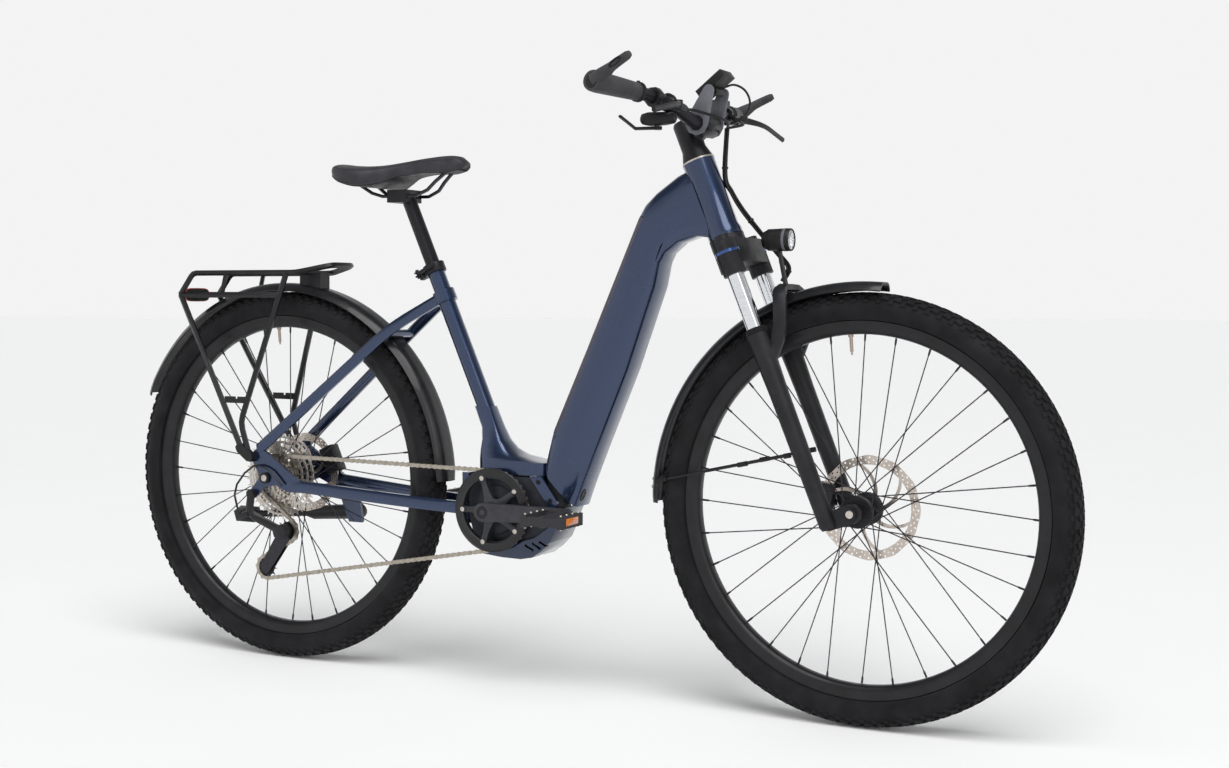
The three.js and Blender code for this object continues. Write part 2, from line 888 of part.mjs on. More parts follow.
function rotor(centre, radius, plane) {
  const inner = radius - rotorBandWidth;
  const thick = rotorThickness;
  const start = moved(centre, 0, plane, 0);
  const band = bored(start, across, radius, inner, thick, rotorFacets);
  const carrier = bored(start, across, rotorCarrierRadius, hubEndRadius + 2 * gap, thick, hubFacets);
  const arms = [];
  for (let i = 0; i < rotorArmCount; i += 1) {
    const angle = (i / rotorArmCount) * 2 * Math.PI;
    const sweep = angle + Math.PI / rotorArmCount;
    const root = round(centre, rotorCarrierRadius - rotorArmWidth / 2, angle, plane + thick / 2);
    const tip = round(centre, inner + rotorArmWidth / 2, sweep, plane + thick / 2);
    const course = tip.clone().sub(root);
    const length = course.length();
    const middle = between(root, tip, 0.5);
    arms.push(block(middle, course.normalize(), across, length, thick, rotorArmWidth));
  }
  return join(band, carrier, ...arms);
}

function axle(centre, halfLength) {
  const profile = [
    [0, -halfLength - axleHeadLength],
    [axleHeadRadius, -halfLength - axleHeadLength],
    [axleHeadRadius, -halfLength - gap],
    [axleRadius, -halfLength - gap],
    [axleRadius, halfLength + gap],
    [axleHeadRadius, halfLength + gap],
    [axleHeadRadius, halfLength + axleHeadLength],
    [0, halfLength + axleHeadLength],
  ];
  return turned(profile, roundFacets, centre, across);
}

// Frame
const downTubeFoot = moved(crankCentre, downTubeFootAhead, 0, downTubeFootUp);
const downTubeHead = onSteer(axleToHeadTube + headTubeLength / 2);
const downTubeLine = downTubeHead.clone().sub(downTubeFoot);
const downTubeSpan = downTubeLine.length();
const downTubeUp = downTubeLine.clone().normalize();
const downTubeRear = across.clone().cross(downTubeUp).negate();

function downTubeEdge(station) {
  const point = downTubeFoot.clone().addScaledVector(downTubeUp, station.along * downTubeSpan);
  return point.addScaledVector(downTubeRear, station.rise * downTubeSpan);
}

function downTubeShell(grow) {
  const rings = downTubeStationShares.map((station) => {
    const inward = downTubeRear.clone().negate().applyAxisAngle(across, -station.tilt);
    const depth = station.depth * downTubeDepth;
    const half = (station.width * downTubeWidth) / 2;
    const edge = downTubeEdge(station);
    const place = ([deep, wide], side) => {
      const point = edge.clone().addScaledVector(inward, depth * deep + grow * (2 * deep - 1));
      return point.addScaledVector(across, side * (half * wide + grow));
    };
    const left = downTubeOutlineShares.map((pair) => place(pair, 1));
    const right = downTubeOutlineShares.map((pair) => place(pair, -1)).reverse();
    return [...left, ...right];
  });
  return loft(rings);
}

// The battery lies along the straight rear edge of the down tube.
const batteryFoot = downTubeEdge(downTubeStationShares[7]);
const batteryHead = downTubeEdge(downTubeStationShares[4]);
const batteryUp = batteryHead.clone().sub(batteryFoot).normalize();
const batteryOut = across.clone().cross(batteryUp).negate();

function batteryBlock(from, to, top, bottom, width) {
  const centre = batteryFoot.clone().addScaledVector(batteryUp, (from + to) / 2);
  centre.addScaledVector(batteryOut, -(top + bottom) / 2);
  return block(centre, batteryUp, across, to - from, width, bottom - top);
}

function steererProfile(grow) {
  const taper = headTubeLength * steererTaperShare;
  return [
    [steererLowerRadius + grow, headTubeLipHeight],
    [steererRadius + grow, taper],
  ];
}

function headTube() {
  const profile = [
    [headTubeLowerRadius, 0],
    [headTubeLowerRadius, headTubeLipHeight],
    [headTubeRadius, headTubeLipHeight * 2],
    [headTubeRadius, headTubeLength - headTubeLipHeight],
    [headTubeRadius + 1.5 * gap, headTubeLength],
    [steererRadius + 2 * gap, headTubeLength],
    ...steererProfile(2 * gap).reverse(),
    [steererLowerRadius + 2 * gap, 0],
    [headTubeLowerRadius, 0],
  ];
  return turned(profile, broadFacets, onSteer(axleToHeadTube), steerUp);
}

function headTubeCutter() {
  const profile = [
    [0, -headTubeLowerRadius],
    [headTubeLowerRadius + gap, -headTubeLowerRadius],
    [headTubeLowerRadius + gap, headTubeLipHeight],
    [headTubeRadius + gap, headTubeLipHeight * 2],
    [headTubeRadius + gap, headTubeLength + overrun],
    [0, headTubeLength + overrun],
  ];
  return turned(profile, broadFacets, onSteer(axleToHeadTube), steerUp);
}

function headTubeFront() {
  const centre = onSteer(axleToHeadTube + headTubeLength / 2, headTubeLowerRadius * 2);
  const reach = headTubeLowerRadius * 4;
  return block(centre, steerAhead, across, reach, reach, headTubeLength * 2);
}

function downTube() {
  const slab = batteryBlock(0, coverLength, -overrun * 2, coverDepth, downTubeWidth * 2);
  const roomEnd = batteryLength + batteryClearance + batteryHeadroom;
  const room = batteryBlock(
    batteryClearance,
    roomEnd,
    coverDepth - overrun,
    coverDepth + gap + batteryDepth + gap,
    batteryWidth + 2 * batteryClearance,
  );
  return cut(downTubeShell(0), headTubeCutter(), headTubeFront(), slab, room);
}

function batteryCover() {
  const end = coverLength - coverEndGap;
  const slab = batteryBlock(gap, end, -overrun * 2, coverDepth - gap, downTubeWidth * 2);
  return common(downTubeShell(0), slab);
}

function batteryPack() {
  const from = batteryClearance + 2 * gap;
  const bottom = coverDepth + batteryDepth;
  return batteryBlock(from, batteryLength, coverDepth, bottom, batteryWidth);
}

// A rounded rectangle in plan, its corners set by shares of its half sizes.
function planRing(z, rear, front, half) {
  const middle = (rear + front) / 2;
  const reach = (front - rear) / 2;
  const quarter = cornerShares.map(([x, y]) => [reach * x, half * y]);
  const turnedBack = quarter.map(([x, y]) => [-x, y]).reverse();
  const upper = [...quarter, ...turnedBack];
  const lower = upper.map(([x, y]) => [x, -y]).reverse();
  return [...upper, ...lower].map(([x, y]) => at(middle + x, y, z));
}

function yoke() {
  const floor = crankCentre.z + yokeFloor;
  const top = onSeat(yokeJoint).z;
  const baseRear = crankCentre.x - yokeRear;
  const baseFront = downTubeEdge(downTubeStationShares[9]).x;
  const rings = yokeShares.map((share) => {
    const z = THREE.MathUtils.lerp(floor, top, share.height);
    const seatX = seatBase.x - (z - seatBase.z) / Math.tan(seatAngle);
    const reach = seatTubeRadius / Math.sin(seatAngle);
    const rear = THREE.MathUtils.lerp(seatX - reach, baseRear, share.rear);
    const front = THREE.MathUtils.lerp(seatX + reach, baseFront, share.front);
    const half = THREE.MathUtils.lerp(seatTubeRadius, yokeHalfWidth, share.width);
    return planRing(z, rear, front, half);
  });
  return loft(rings);
}

function seatTube() {
  const profile = [
    [0, 0],
    [seatTubeRadius, 0],
    [seatTubeRadius, seatTubeLength],
    [seatPostRadius + gap, seatTubeLength],
    [seatPostRadius + gap, seatTubeLength - seatBoreDepth],
    [0, seatTubeLength - seatBoreDepth],
  ];
  return cut(join(turned(profile, broadFacets, seatBase, seatUp), yoke()), downTubeShell(gap));
}

function dropoutOutline() {
  return dropoutShares.map(([x, z]) => [rearAxle.x + x * dropoutReach, rearAxle.z + z * dropoutReach]);
}

const hangerBolt = moved(rearAxle, -hangerBehind, 0, -hangerBelow);

function dropout(side, grow) {
  const inner = side * (rearInner - grow);
  const outer = side * (rearInner + dropoutThickness + grow);
  const hole = circle(rearAxle.x, rearAxle.z, bore(axleRadius, 8), 8);
  return plate(dropoutOutline(), inner, outer, grow > 0 ? [] : [hole]);
}

function chainStayRoute(side) {
  const frontHeight = crankCentre.z - overrun / 2;
  const rearHeight = rearAxle.z - chainStayRadius;
  const cradle = crankCentre.x + motorShares[0][0] * motorSpan - cradleThickness / 2;
  const mid = THREE.MathUtils.lerp(frontHeight, rearHeight, 0.3);
  const rearSide = rearInner + dropoutThickness / 2;
  return rounded(
    [
      at(cradle, side * chainStayFrontSpread, frontHeight),
      at(chainStayMidAhead, side * chainStayMidSpread, mid),
      at(rearAxle.x + chainStayRearAhead, side * rearSide, rearHeight),
    ],
    0.35,
    2,
  );
}

function chainStays() {
  const front = crankCentre.x + motorShares[0][0] * motorSpan - gap;
  const top = crankCentre.z + yokeFloor - gap;
  const bottom = crankCentre.z - cradleDrop;
  const cradleCentre = at(front - cradleThickness / 2, 0, (top + bottom) / 2);
  const cradle = block(cradleCentre, ahead, across, cradleThickness, 2 * cradleHalfWidth, top - bottom);
  const pieces = [cradle];
  for (const side of [-1, 1]) {
    pieces.push(tube(chainStayRoute(side), 8, chainStayRadius, chainStayHalfWidth));
    pieces.push(dropout(side, 0));
  }
  const bracketRise = (rearAxle.z - chainStayRadius * 1.5 - standPivot.z) / Math.cos(standCant);
  const bracketLength = 3 * standHeadRadius;
  const standPlate = new THREE.Shape([
    new THREE.Vector2(-bracketLength / 2, bracketRise),
    new THREE.Vector2(-standHeadRadius, -standHeadRadius),
    new THREE.Vector2(standHeadRadius, -standHeadRadius),
    new THREE.Vector2(bracketLength / 2, bracketRise),
  ]);
  const bracket = new THREE.ExtrudeGeometry(standPlate, { depth: dropoutThickness, bevelEnabled: false });
  const bracketFrame = new THREE.Matrix4().makeBasis(ahead, standRise, standAxis);
  const seat = standPivot.clone().addScaledVector(standAxis, standHeadThickness / 2 + gap);
  pieces.push(bracket.applyMatrix4(bracketFrame.setPosition(seat)));
  const hangerOuter = -rearInner - hangerThickness;
  const arm = link(rearAxle, axleHeadRadius + gap, hangerBolt, hangerRadius, 5);
  const hole = circle(rearAxle.x, rearAxle.z, bore(axleRadius, 8), 8);
  pieces.push(plate(arm, -rearInner, hangerOuter, [hole]));
  return join(...pieces);
}

function seatStayRoute(side) {
  const shoulder = round(rearAxle, mudguardRadius + mudguardDrop + bridgeRadius, bridgeAngle);
  const footSide = side * (rearInner + dropoutThickness / 2);
  const foot = moved(rearAxle, -seatStayFootBehind, footSide, seatStayFootUp);
  return rounded(
    [
      onSeat(seatStayHeight, 0, side * seatStayHalfWidth),
      at(shoulder.x, side * seatStayShoulder, shoulder.z),
      foot,
    ],
    0.3,
    2,
  );
}

// How far the rear mudguard's skin lies from the axle at an angle, between its stations.
function rearMudguardSurface(angle) {
  const step = (rearMudguardEnd - rearMudguardStart) / mudguardStationCount;
  const middle = rearMudguardStart + (Math.floor((angle - rearMudguardStart) / step) + 0.5) * step;
  return (mudguardRadius * Math.cos(step / 2)) / Math.cos(angle - middle);
}

function seatStays() {
  const centre = round(rearAxle, rearMudguardSurface(bridgeAngle) + bridgeRadius + gap, bridgeAngle);
  const end = seatStayShoulder;
  const bridge = rod(moved(centre, 0, -end, 0), moved(centre, 0, end, 0), bridgeRadius, 8);
  const stays = [-1, 1].map((side) => tube(seatStayRoute(side), 8, seatStayRadius, seatStayHalfWidth));
  const seatCutter = rod(
    seatBase,
    onSeat(seatTubeLength + overrun),
    bore(seatTubeRadius, broadFacets),
    broadFacets,
  );
  const whole = join(bridge, ...stays, seatCollar());
  return cut(whole, seatCutter, dropout(-1, gap), dropout(1, gap));
}

// The short collar on which both seat stays meet behind the seat tube.
function seatCollar() {
  const height = seatStayRadius * 2;
  const start = onSeat(seatStayHeight - height / 2);
  return turned(
    [[0, 0], [seatTubeRadius + overrun, 0], [seatTubeRadius + overrun, height], [0, height]],
    broadFacets,
    start,
    seatUp,
  );
}

function motorOutline(shares, grow) {
  const outline = shares.map(([x, z]) => [crankCentre.x + x * motorSpan, crankCentre.z + z * motorSpan]);
  if (grow === 0) {
    return outline;
  }
  const centreX = crankCentre.x + motorSpan * 0.25;
  const centreZ = crankCentre.z;
  return outline.map(([x, z]) => {
    const away = Math.hypot(x - centreX, z - centreZ);
    return [x + ((x - centreX) / away) * grow, z + ((z - centreZ) / away) * grow];
  });
}

function motor() {
  const body = plate(motorOutline(motorShares, 0), -motorHalfWidth, motorHalfWidth);
  const side = motorHalfWidth + motorDiscDepth;
  const disc = rod(
    moved(crankCentre, 0, -side, 0),
    moved(crankCentre, 0, side, 0),
    motorDiscRadius,
    broadFacets,
  );
  const spindle = rod(
    moved(crankCentre, 0, -side - overrun, 0),
    moved(crankCentre, 0, side + overrun, 0),
    bore(spindleRadius, roundFacets),
    roundFacets,
  );
  return cut(join(body, disc), spindle, downTubeShell(gap));
}

function motorCover() {
  const outer = plate(motorOutline(bellyShares, 0), -bellyHalfWidth, bellyHalfWidth);
  const room = motorHalfWidth + gap;
  const inner = plate(motorOutline(motorShares, 2 * gap), -room, room);
  const ring = rod(
    moved(crankCentre, 0, -motorSpan, 0),
    moved(crankCentre, 0, motorSpan, 0),
    motorDiscRadius + 2 * gap,
    broadFacets,
  );
  const slots = [];
  for (let i = 0; i < ventCount; i += 1) {
    const x = crankCentre.x + ventAhead + i * ventPitch;
    const z = crankCentre.z - ventBelow + i * ventHeight;
    const tilt = ahead.clone().applyAxisAngle(across, ventTilt);
    const centre = at(x, -bellyHalfWidth, z);
    slots.push(block(centre, tilt, across, ventLength, overrun * 4, ventHeight));
  }
  return cut(outer, inner, ring, downTubeShell(gap), ...slots);
}

// Seat clamp, post, rails and saddle
const clampStart = seatTubeLength - clampHeight;

function seatClamp() {
  const middle = clampStart + clampHeight / 2;
  const ring = bored(
    onSeat(clampStart),
    seatUp,
    clampRadius,
    bore(seatTubeRadius, broadFacets),
    clampHeight,
    broadFacets,
  );
  const reach = clampRadius + clampEarLength / 2 - overrun / 2;
  const ear = block(onSeat(middle, -reach), seatAhead, across, clampEarLength, clampEarWidth, clampHeight);
  const hollow = rod(
    onSeat(clampStart - overrun),
    onSeat(seatTubeLength + overrun),
    bore(seatTubeRadius, broadFacets),
    broadFacets,
  );
  const boltEnd = onSeat(middle, -reach, -clampPinOffset);
  const bolt = rod(onSeat(middle, -reach, clampEarWidth), boltEnd, clampBoltRadius, 8);
  const pinStart = onSeat(clampStart + gap, -reach, -clampPinOffset);
  const pin = rod(pinStart, onSeat(seatTubeLength - gap, -reach, -clampPinOffset), clampPinRadius, 8);
  return join(cut(join(ear, bolt, pin), hollow), ring);
}

function clampLever() {
  const middle = clampStart + clampHeight / 2;
  const reach = clampRadius + clampEarLength / 2 - overrun / 2;
  const half = clampLeverWidth / 2;
  const head = bored(
    onSeat(middle - half, -reach, -clampPinOffset),
    seatUp,
    clampPinRadius * 2,
    bore(clampPinRadius, roundFacets),
    clampLeverWidth,
    8,
  );
  const side = -clampPinOffset - clampPinRadius * 1.5;
  const blade = tube(
    [
      onSeat(middle, -reach, side),
      onSeat(middle, -reach + clampLeverLength * 0.5, side - clampLeverThickness / 2),
      onSeat(middle, -reach + clampLeverLength, side - clampLeverThickness),
    ],
    4,
    clampLeverThickness / 2,
    half,
    seatUp,
  );
  const room = clampBoltRadius + gap;
  const slot = rod(
    onSeat(middle - room, -reach, -clampPinOffset),
    onSeat(middle + room, -reach, -clampPinOffset),
    bore(clampPinRadius * 2, 8),
    8,
  );
  const pin = rod(
    onSeat(clampStart, -reach, -clampPinOffset),
    onSeat(seatTubeLength, -reach, -clampPinOffset),
    bore(clampPinRadius, 8),
    8,
  );
  return cut(join(head, blade), slot, pin);
}

const postTop = seatTubeLength + postExposed;
const railHeight = onSeat(postTop + postHeadHeight / 2);
const saddleFloor = railHeight.z;
const saddleRear = railHeight.x - saddleSetback;

function railRoute(spread) {
  const rear = railHeight.x - railSetback;
  return railShares.map((share) => {
    return at(
      rear + share.along * railLength,
      spread * share.spread,
      saddleFloor + share.height * saddleHeight,
    );
  });
}

function saddleRails(grow) {
  const left = railRoute(railSpread);
  const right = railRoute(-railSpread).reverse();
  const route = rounded([...left, ...right], 0.3, 1);
  return tube(route, 6, railRadius + grow, railRadius + grow, upright);
}

function seatPost() {
  const start = onSeat(seatTubeLength - seatPostInsertion);
  const shaft = rod(start, onSeat(postTop + overrun), seatPostRadius, broadFacets);
  const centre = moved(railHeight, -postHeadSetback, 0, 0);
  const head = block(centre, ahead, across, postHeadLength, postHeadWidth, postHeadHeight);
  const cutters = [-1, 1].map((side) => {
    const from = moved(railHeight, -postHeadLength * 2, side * railSpread, 0);
    return rod(from, moved(from, postHeadLength * 4, 0, 0), railRadius + 2 * gap, 8);
  });
  return cut(join(shaft, head), ...cutters);
}

function saddleRing(share) {
  const x = saddleRear + share.along * saddleLength;
  const half = (share.width * saddleWidth) / 2;
  const top = saddleFloor + share.top * saddleHeight;
  const edge = saddleFloor + share.edge * saddleHeight;
  const base = saddleFloor + share.base * saddleHeight;
  const rise = top - edge;
  return [
    at(x, 0, top - rise * 0.06),
    at(x, half * 0.4, top),
    at(x, half * 0.78, top - rise * 0.22),
    at(x, half, edge + rise * 0.3),
    at(x, half * 0.94, edge),
    at(x, half * 0.5, base + rise * 0.2),
    at(x, 0, base + rise * 0.24),
    at(x, -half * 0.5, base + rise * 0.2),
    at(x, -half * 0.94, edge),
    at(x, -half, edge + rise * 0.3),
    at(x, -half * 0.78, top - rise * 0.22),
    at(x, -half * 0.4, top),
  ];
}

function saddle() {
  return cut(loft(saddleShares.map(saddleRing)), saddleRails(gap));
}

// Fork
// A plate square to the steering axis, its outline given ahead and to the side.
function steerPlate(outline, from, to) {
  const shape = new THREE.Shape(outline.map(([forward, side]) => new THREE.Vector2(forward, side)));
  const depth = to - from;
  const solid = new THREE.ExtrudeGeometry(shape, { depth, bevelEnabled: false, curveSegments: 1 });
  const frame = new THREE.Matrix4().makeBasis(steerAhead, across, steerUp);
  return solid.applyMatrix4(frame.setPosition(onSteer(from)));
}

function crownOutline() {
  const rear = crownOffset - crownSocketRadius;
  const front = crownOffset + crownSocketRadius;
  const side = stanchionSpread;
  const half = [
    [front, side * 0.9],
    [front - crownSocketRadius * 0.5, side + crownSocketRadius * 0.85],
    [rear + crownSocketRadius * 0.5, side + crownSocketRadius * 0.85],
    [rear, side * 0.9],
    [rear, side * 0.6],
    [-headTubeLowerRadius * 0.9, headTubeLowerRadius * 0.4],
  ];
  return [...half, ...half.map(([x, y]) => [x, -y]).reverse()];
}

function crown() {
  const bridgeTop = axleToHeadTube - crownShoulder;
  const profile = [
    [0, bridgeTop - axleToHeadTube - overrun],
    [headTubeLowerRadius, bridgeTop - axleToHeadTube - overrun],
    [headTubeLowerRadius, -gap],
    [steererLowerRadius, -gap],
    ...steererProfile(0),
    [steererRadius, stemColumnTop - axleToHeadTube - overrun],
    [0, stemColumnTop - axleToHeadTube - overrun],
  ];
  const steerer = turned(profile, roundFacets, onSteer(axleToHeadTube), steerUp);
  const bridge = steerPlate(crownOutline(), bridgeTop - crownBridgeHeight, bridgeTop);
  const pieces = [steerer, bridge];
  const bores = [];
  for (const side of [-1, 1]) {
    const start = onSteer(crownBottom, crownOffset, side * stanchionSpread);
    const end = onSteer(bridgeTop - gap, crownOffset, side * stanchionSpread);
    pieces.push(rod(start, end, crownSocketRadius - gap, roundFacets));
    const knobEnd = onSteer(bridgeTop + crownKnobHeight, crownOffset, side * stanchionSpread);
    pieces.push(rod(end, knobEnd, crownKnobRadius, slimFacets));
    const boreStart = onSteer(crownBottom - overrun, crownOffset, side * stanchionSpread);
    const depth = stanchionInsertion + overrun + gap;
    bores.push(rod(
      boreStart,
      boreStart.clone().addScaledVector(steerUp, depth),
      stanchionRadius + gap,
      roundFacets,
    ));
  }
  return cut(join(...pieces), ...bores);
}

function stanchion(side) {
  const top = onSteer(crownBottom + stanchionInsertion, crownOffset, side * stanchionSpread);
  const bottom = onSteer(
    lowersTop - legBoreDepth + forkTravel + overrun,
    crownOffset,
    side * stanchionSpread,
  );
  return rod(bottom, top, stanchionRadius, roundFacets);
}

function lowers() {
  const pieces = [];
  const bores = [];
  for (const side of [-1, 1]) {
    const y = side * stanchionSpread;
    const bottom = onSteer(-legFootBelow, crownOffset, y);
    const top = lowersTop + legFootBelow;
    const profile = [
      [0, 0],
      [legFootRadius * 0.8, 0],
      [legFootRadius, legFootBelow / 2],
      [legRadius, top * 0.7],
      [legTopRadius, top - legCollarHeight],
      [legTopRadius, top],
      [0, top],
    ];
    pieces.push(turned(profile, roundFacets, bottom, steerUp));
    const boreStart = onSteer(lowersTop - legBoreDepth, crownOffset, y);
    bores.push(rod(
      boreStart,
      onSteer(lowersTop + overrun, crownOffset, y),
      stanchionRadius + gap,
      roundFacets,
    ));
    const boss = link(onSteer(0, crownOffset), legFootRadius, frontAxle, axleBossRadius, 4);
    pieces.push(plate(boss, side * frontInner, side * (frontInner + forkDropoutThickness)));
    const holeStart = moved(frontAxle, 0, side * (frontInner - overrun), 0);
    const holeEnd = moved(frontAxle, 0, side * (frontInner + forkDropoutThickness + overrun), 0);
    bores.push(rod(holeStart, holeEnd, bore(axleRadius, 8), 8));
  }
  pieces.push(arch());
  return cut(join(...pieces), ...bores);
}

// The arch rises ahead of both legs and crosses over the tyre.
function arch() {
  const half = (side) => [
    onSteer(archFoot, crownOffset + legRadius / 2, side * stanchionSpread),
    onSteer(
      lowersTop - legCollarHeight / 2,
      (crownOffset + archAhead) / 2 + archThickness,
      side * stanchionSpread,
    ),
    onSteer(archTop - archDepth, archAhead, side * (stanchionSpread - archThickness / 4)),
    onSteer(archTop, archAhead, side * archShoulder),
  ];
  const route = rounded([...half(-1), ...half(1).reverse()], 0.3, 1);
  return tube(route, 6, archThickness * archHalfShare, archDepth / 2, steerAhead);
}

// Mudguards, each a thin arched section led round its wheel
function mudguardRing(centre, angle) {
  const half = mudguardWidth / 2;
  const outer = mudguardArcShares.map((share, i) => {
    return round(centre, mudguardRadius - mudguardSagShares[i] * mudguardDrop, angle, share * half);
  });
  const inner = mudguardArcShares.map((share, i) => {
    const radius = mudguardRadius - mudguardSagShares[i] * mudguardDrop - mudguardWall;
    return round(centre, radius, angle, share * (half - mudguardWall));
  });
  return [...outer, ...inner.reverse()];
}

function mudguard(centre, start, end) {
  const rings = [];
  for (let i = 0; i <= mudguardStationCount; i += 1) {
    rings.push(mudguardRing(centre, THREE.MathUtils.lerp(start, end, i / mudguardStationCount)));
  }
  return loft(rings);
}

function frontMudguard() {
  const half = mudguardWidth / 2;
  const pieces = [mudguard(frontAxle, frontMudguardStart, frontMudguardEnd)];
  for (const side of [-1, 1]) {
    const low = round(
      frontAxle,
      mudguardRadius - mudguardDrop,
      stayRodAngle,
      side * (half - mudguardWall / 2),
    );
    const leg = onSteer(stayLegHeight, crownOffset - legRadius - stayRodRadius, side * stanchionSpread);
    pieces.push(tube([low, leg], 5, stayRodRadius));
  }
  // A pad holds the mudguard under the arch.
  const seat = onSteer(archTop - archThickness * archHalfShare - gap, archAhead).sub(frontAxle);
  const top = seat.length();
  const bottom = mudguardRadius - mudguardWall / 2;
  const outward = seat.normalize();
  const centre = frontAxle.clone().addScaledVector(outward, (top + bottom) / 2);
  pieces.push(block(centre, outward, across, top - bottom, mudguardPadWidth, mudguardPadWidth));
  return join(...pieces);
}

function rearMudguard() {
  return mudguard(rearAxle, rearMudguardStart, rearMudguardEnd);
}

// Rack
function rack() {
  const top = rearAxle.z + rackTopHeight;
  const low = rearAxle.z + rackRailHeight;
  const pieces = [];
  const sides = 5;
  const topRoute = (side) => [
    at(-rackRearReach, side * rackHalfWidth, low),
    at(-rackShoulderReach, side * rackHalfWidth, top),
    at(rackFrontReach, side * rackHalfWidth, top),
    at(rackNoseReach * 0.86, side * (rackNoseHalfWidth + overrun), top + rackNoseRise),
  ];
  const loop = [...topRoute(-1), ...topRoute(1).reverse()];
  pieces.push(tube(rounded(loop, 0.16, 2), sides, rackTubeRadius, rackTubeRadius, upright));
  for (const side of [-1, 1]) {
    const y = side * rackHalfWidth;
    const foot = at(-rackFootBehind, side * rackFootSpread, rearAxle.z + rackFootUp);
    const knee = at(-rackKneeBehind, side * rackFootSpread, rearAxle.z + rackKneeUp);
    const rearCorner = at(-rackRearReach, y, low);
    const frontTop = at(rackLegTopAhead, y, top);
    pieces.push(tube(rounded([frontTop, knee, foot], 0.25, 2), sides, rackTubeRadius));
    pieces.push(tube(
      [rearCorner, moved(foot, -rackTubeRadius * 3, 0, rackTubeRadius)],
      sides,
      rackTubeRadius,
    ));
    const railFront = between(frontTop, knee, (top - low) / (top - knee.z));
    pieces.push(tube([rearCorner, railFront], sides, rackTubeRadius));
    const hoopTop = at(-rackHoopBehind, y, top);
    pieces.push(tube(
      [hoopTop, moved(hoopTop, -rackTubeRadius * 2, 0, low - top)],
      sides,
      rackTubeRadius * 0.8,
    ));
    pieces.push(rackWeb(side, frontTop, knee, rearCorner, foot));
    const footEnd = moved(foot, rackTubeRadius, 0, -rackTubeRadius * 2);
    pieces.push(
      plate(
        link(
          footEnd,
          rackTubeRadius * 1.6,
          moved(foot, -rackTubeRadius * 3, 0, rackTubeRadius),
          rackTubeRadius * 1.6,
          3,
        ),
        side * (rearInner + dropoutThickness + gap),
        side * (rackFootSpread + rackTubeRadius),
      ),
    );
  }
  const rearBar = at(-rackRearReach, rackHalfWidth, low);
  pieces.push(rod(rearBar, moved(rearBar, 0, -2 * rackHalfWidth, 0), rackTubeRadius, sides));
  const frontBar = at(rackFrontReach, rackHalfWidth, top);
  pieces.push(rod(frontBar, moved(frontBar, 0, -2 * rackHalfWidth, 0), rackTubeRadius * 0.8, sides));
  const lampPlateX = -rackRearReach + lampPlateLength / 2;
  pieces.push(block(
    at(lampPlateX, 0, low),
    ahead,
    across,
    lampPlateLength,
    2 * rackHalfWidth,
    lampPlateThickness,
  ));
  const seatHeight = rearAxle.z + mudguardRadius - mudguardDrop;
  const blockHeight = top - seatHeight;
  const blockCentre = at(rackFrontReach, 0, seatHeight + blockHeight / 2);
  pieces.push(block(blockCentre, ahead, across, rackBlockLength, rackBlockWidth, blockHeight));
  return cut(join(...pieces), mudguardCutter());
}

// The rear mudguard's section, filled and a gap larger, to cut what sits on it.
function mudguardCutter() {
  const half = mudguardWidth / 2 + gap;
  const inner = mudguardRadius - 2 * mudguardDrop;
  const rings = [];
  for (let i = 0; i <= mudguardStationCount; i += 1) {
    const angle = THREE.MathUtils.lerp(rearMudguardStart, rearMudguardEnd, i / mudguardStationCount);
    const arc = mudguardArcShares.map((share, k) => {
      return round(rearAxle, mudguardRadius + gap - mudguardSagShares[k] * mudguardDrop, angle, share * half);
    });
    rings.push([...arc, round(rearAxle, inner, angle, half), round(rearAxle, inner, angle, -half)]);
  }
  return loft(rings);
}

// The notched web between the two legs of one side.
function rackWeb(side, frontTop, knee, rearCorner, foot) {
  const height = rearAxle.z + rackWebHeight;
  const frontShare = (frontTop.z - height) / (frontTop.z - knee.z);
  const rearShare = (rearCorner.z - height) / (rearCorner.z - foot.z);
  const front = between(frontTop, knee, frontShare);
  const rear = between(rearCorner, foot, rearShare);
  const middle = (front.x + rear.x) / 2;
  const outline = [
    [rear.x, height + rackWebBand / 2],
    [middle - rackWebThickness, height + rackWebBand / 2],
    [middle - rackWebThickness, height + rackWebBand / 6],
    [middle + rackWebThickness, height + rackWebBand / 6],
    [middle + rackWebThickness, height + rackWebBand / 2],
    [front.x, height + rackWebBand / 2],
    [front.x, height - rackWebBand / 2],
    [rear.x, height - rackWebBand / 2],
  ];
  const y = Math.abs(front.y + rear.y) / 2;
  return plate(outline, side * (y - rackWebThickness / 2), side * (y + rackWebThickness / 2));
}

function tailLight() {
  const front = -rackRearReach - rackTubeRadius - gap;
  const z = rearAxle.z + rackRailHeight;
  const half = tailLightHeight / 2;
  const outline = [
    [front, z - half],
    [front, z + half],
    [front - tailLightDepth * 0.6, z + half],
    [front - tailLightDepth, z + half * 0.5],
    [front - tailLightDepth, z - half * 0.7],
    [front - tailLightDepth * 0.7, z - half],
  ];
  return plate(outline, -tailLightWidth / 2, tailLightWidth / 2);
}

// Brakes
function caliper(centre, radius, plane, angle, seat) {
  const side = plane + rotorThickness / 2 + (caliperOuter - caliperInner) / 2;
  const middle = round(centre, radius - caliperOverlap / 2, angle, side);
  const tangent = at(-Math.sin(angle), 0, Math.cos(angle));
  const body = block(middle, tangent, across, caliperLength, caliperOuter + caliperInner, caliperDepth);
  const slotStart = moved(centre, 0, plane + rotorThickness / 2 - caliperSlot / 2, 0);
  const slot = bored(slotStart, across, radius + overrun / 2, axleHeadRadius, caliperSlot, wheelFacets);
  return cut(join(body, ...seat), slot);
}

const frontRotorPlane = frontInner - rotorInset;
const rearRotorPlane = rearInner - rotorInset;

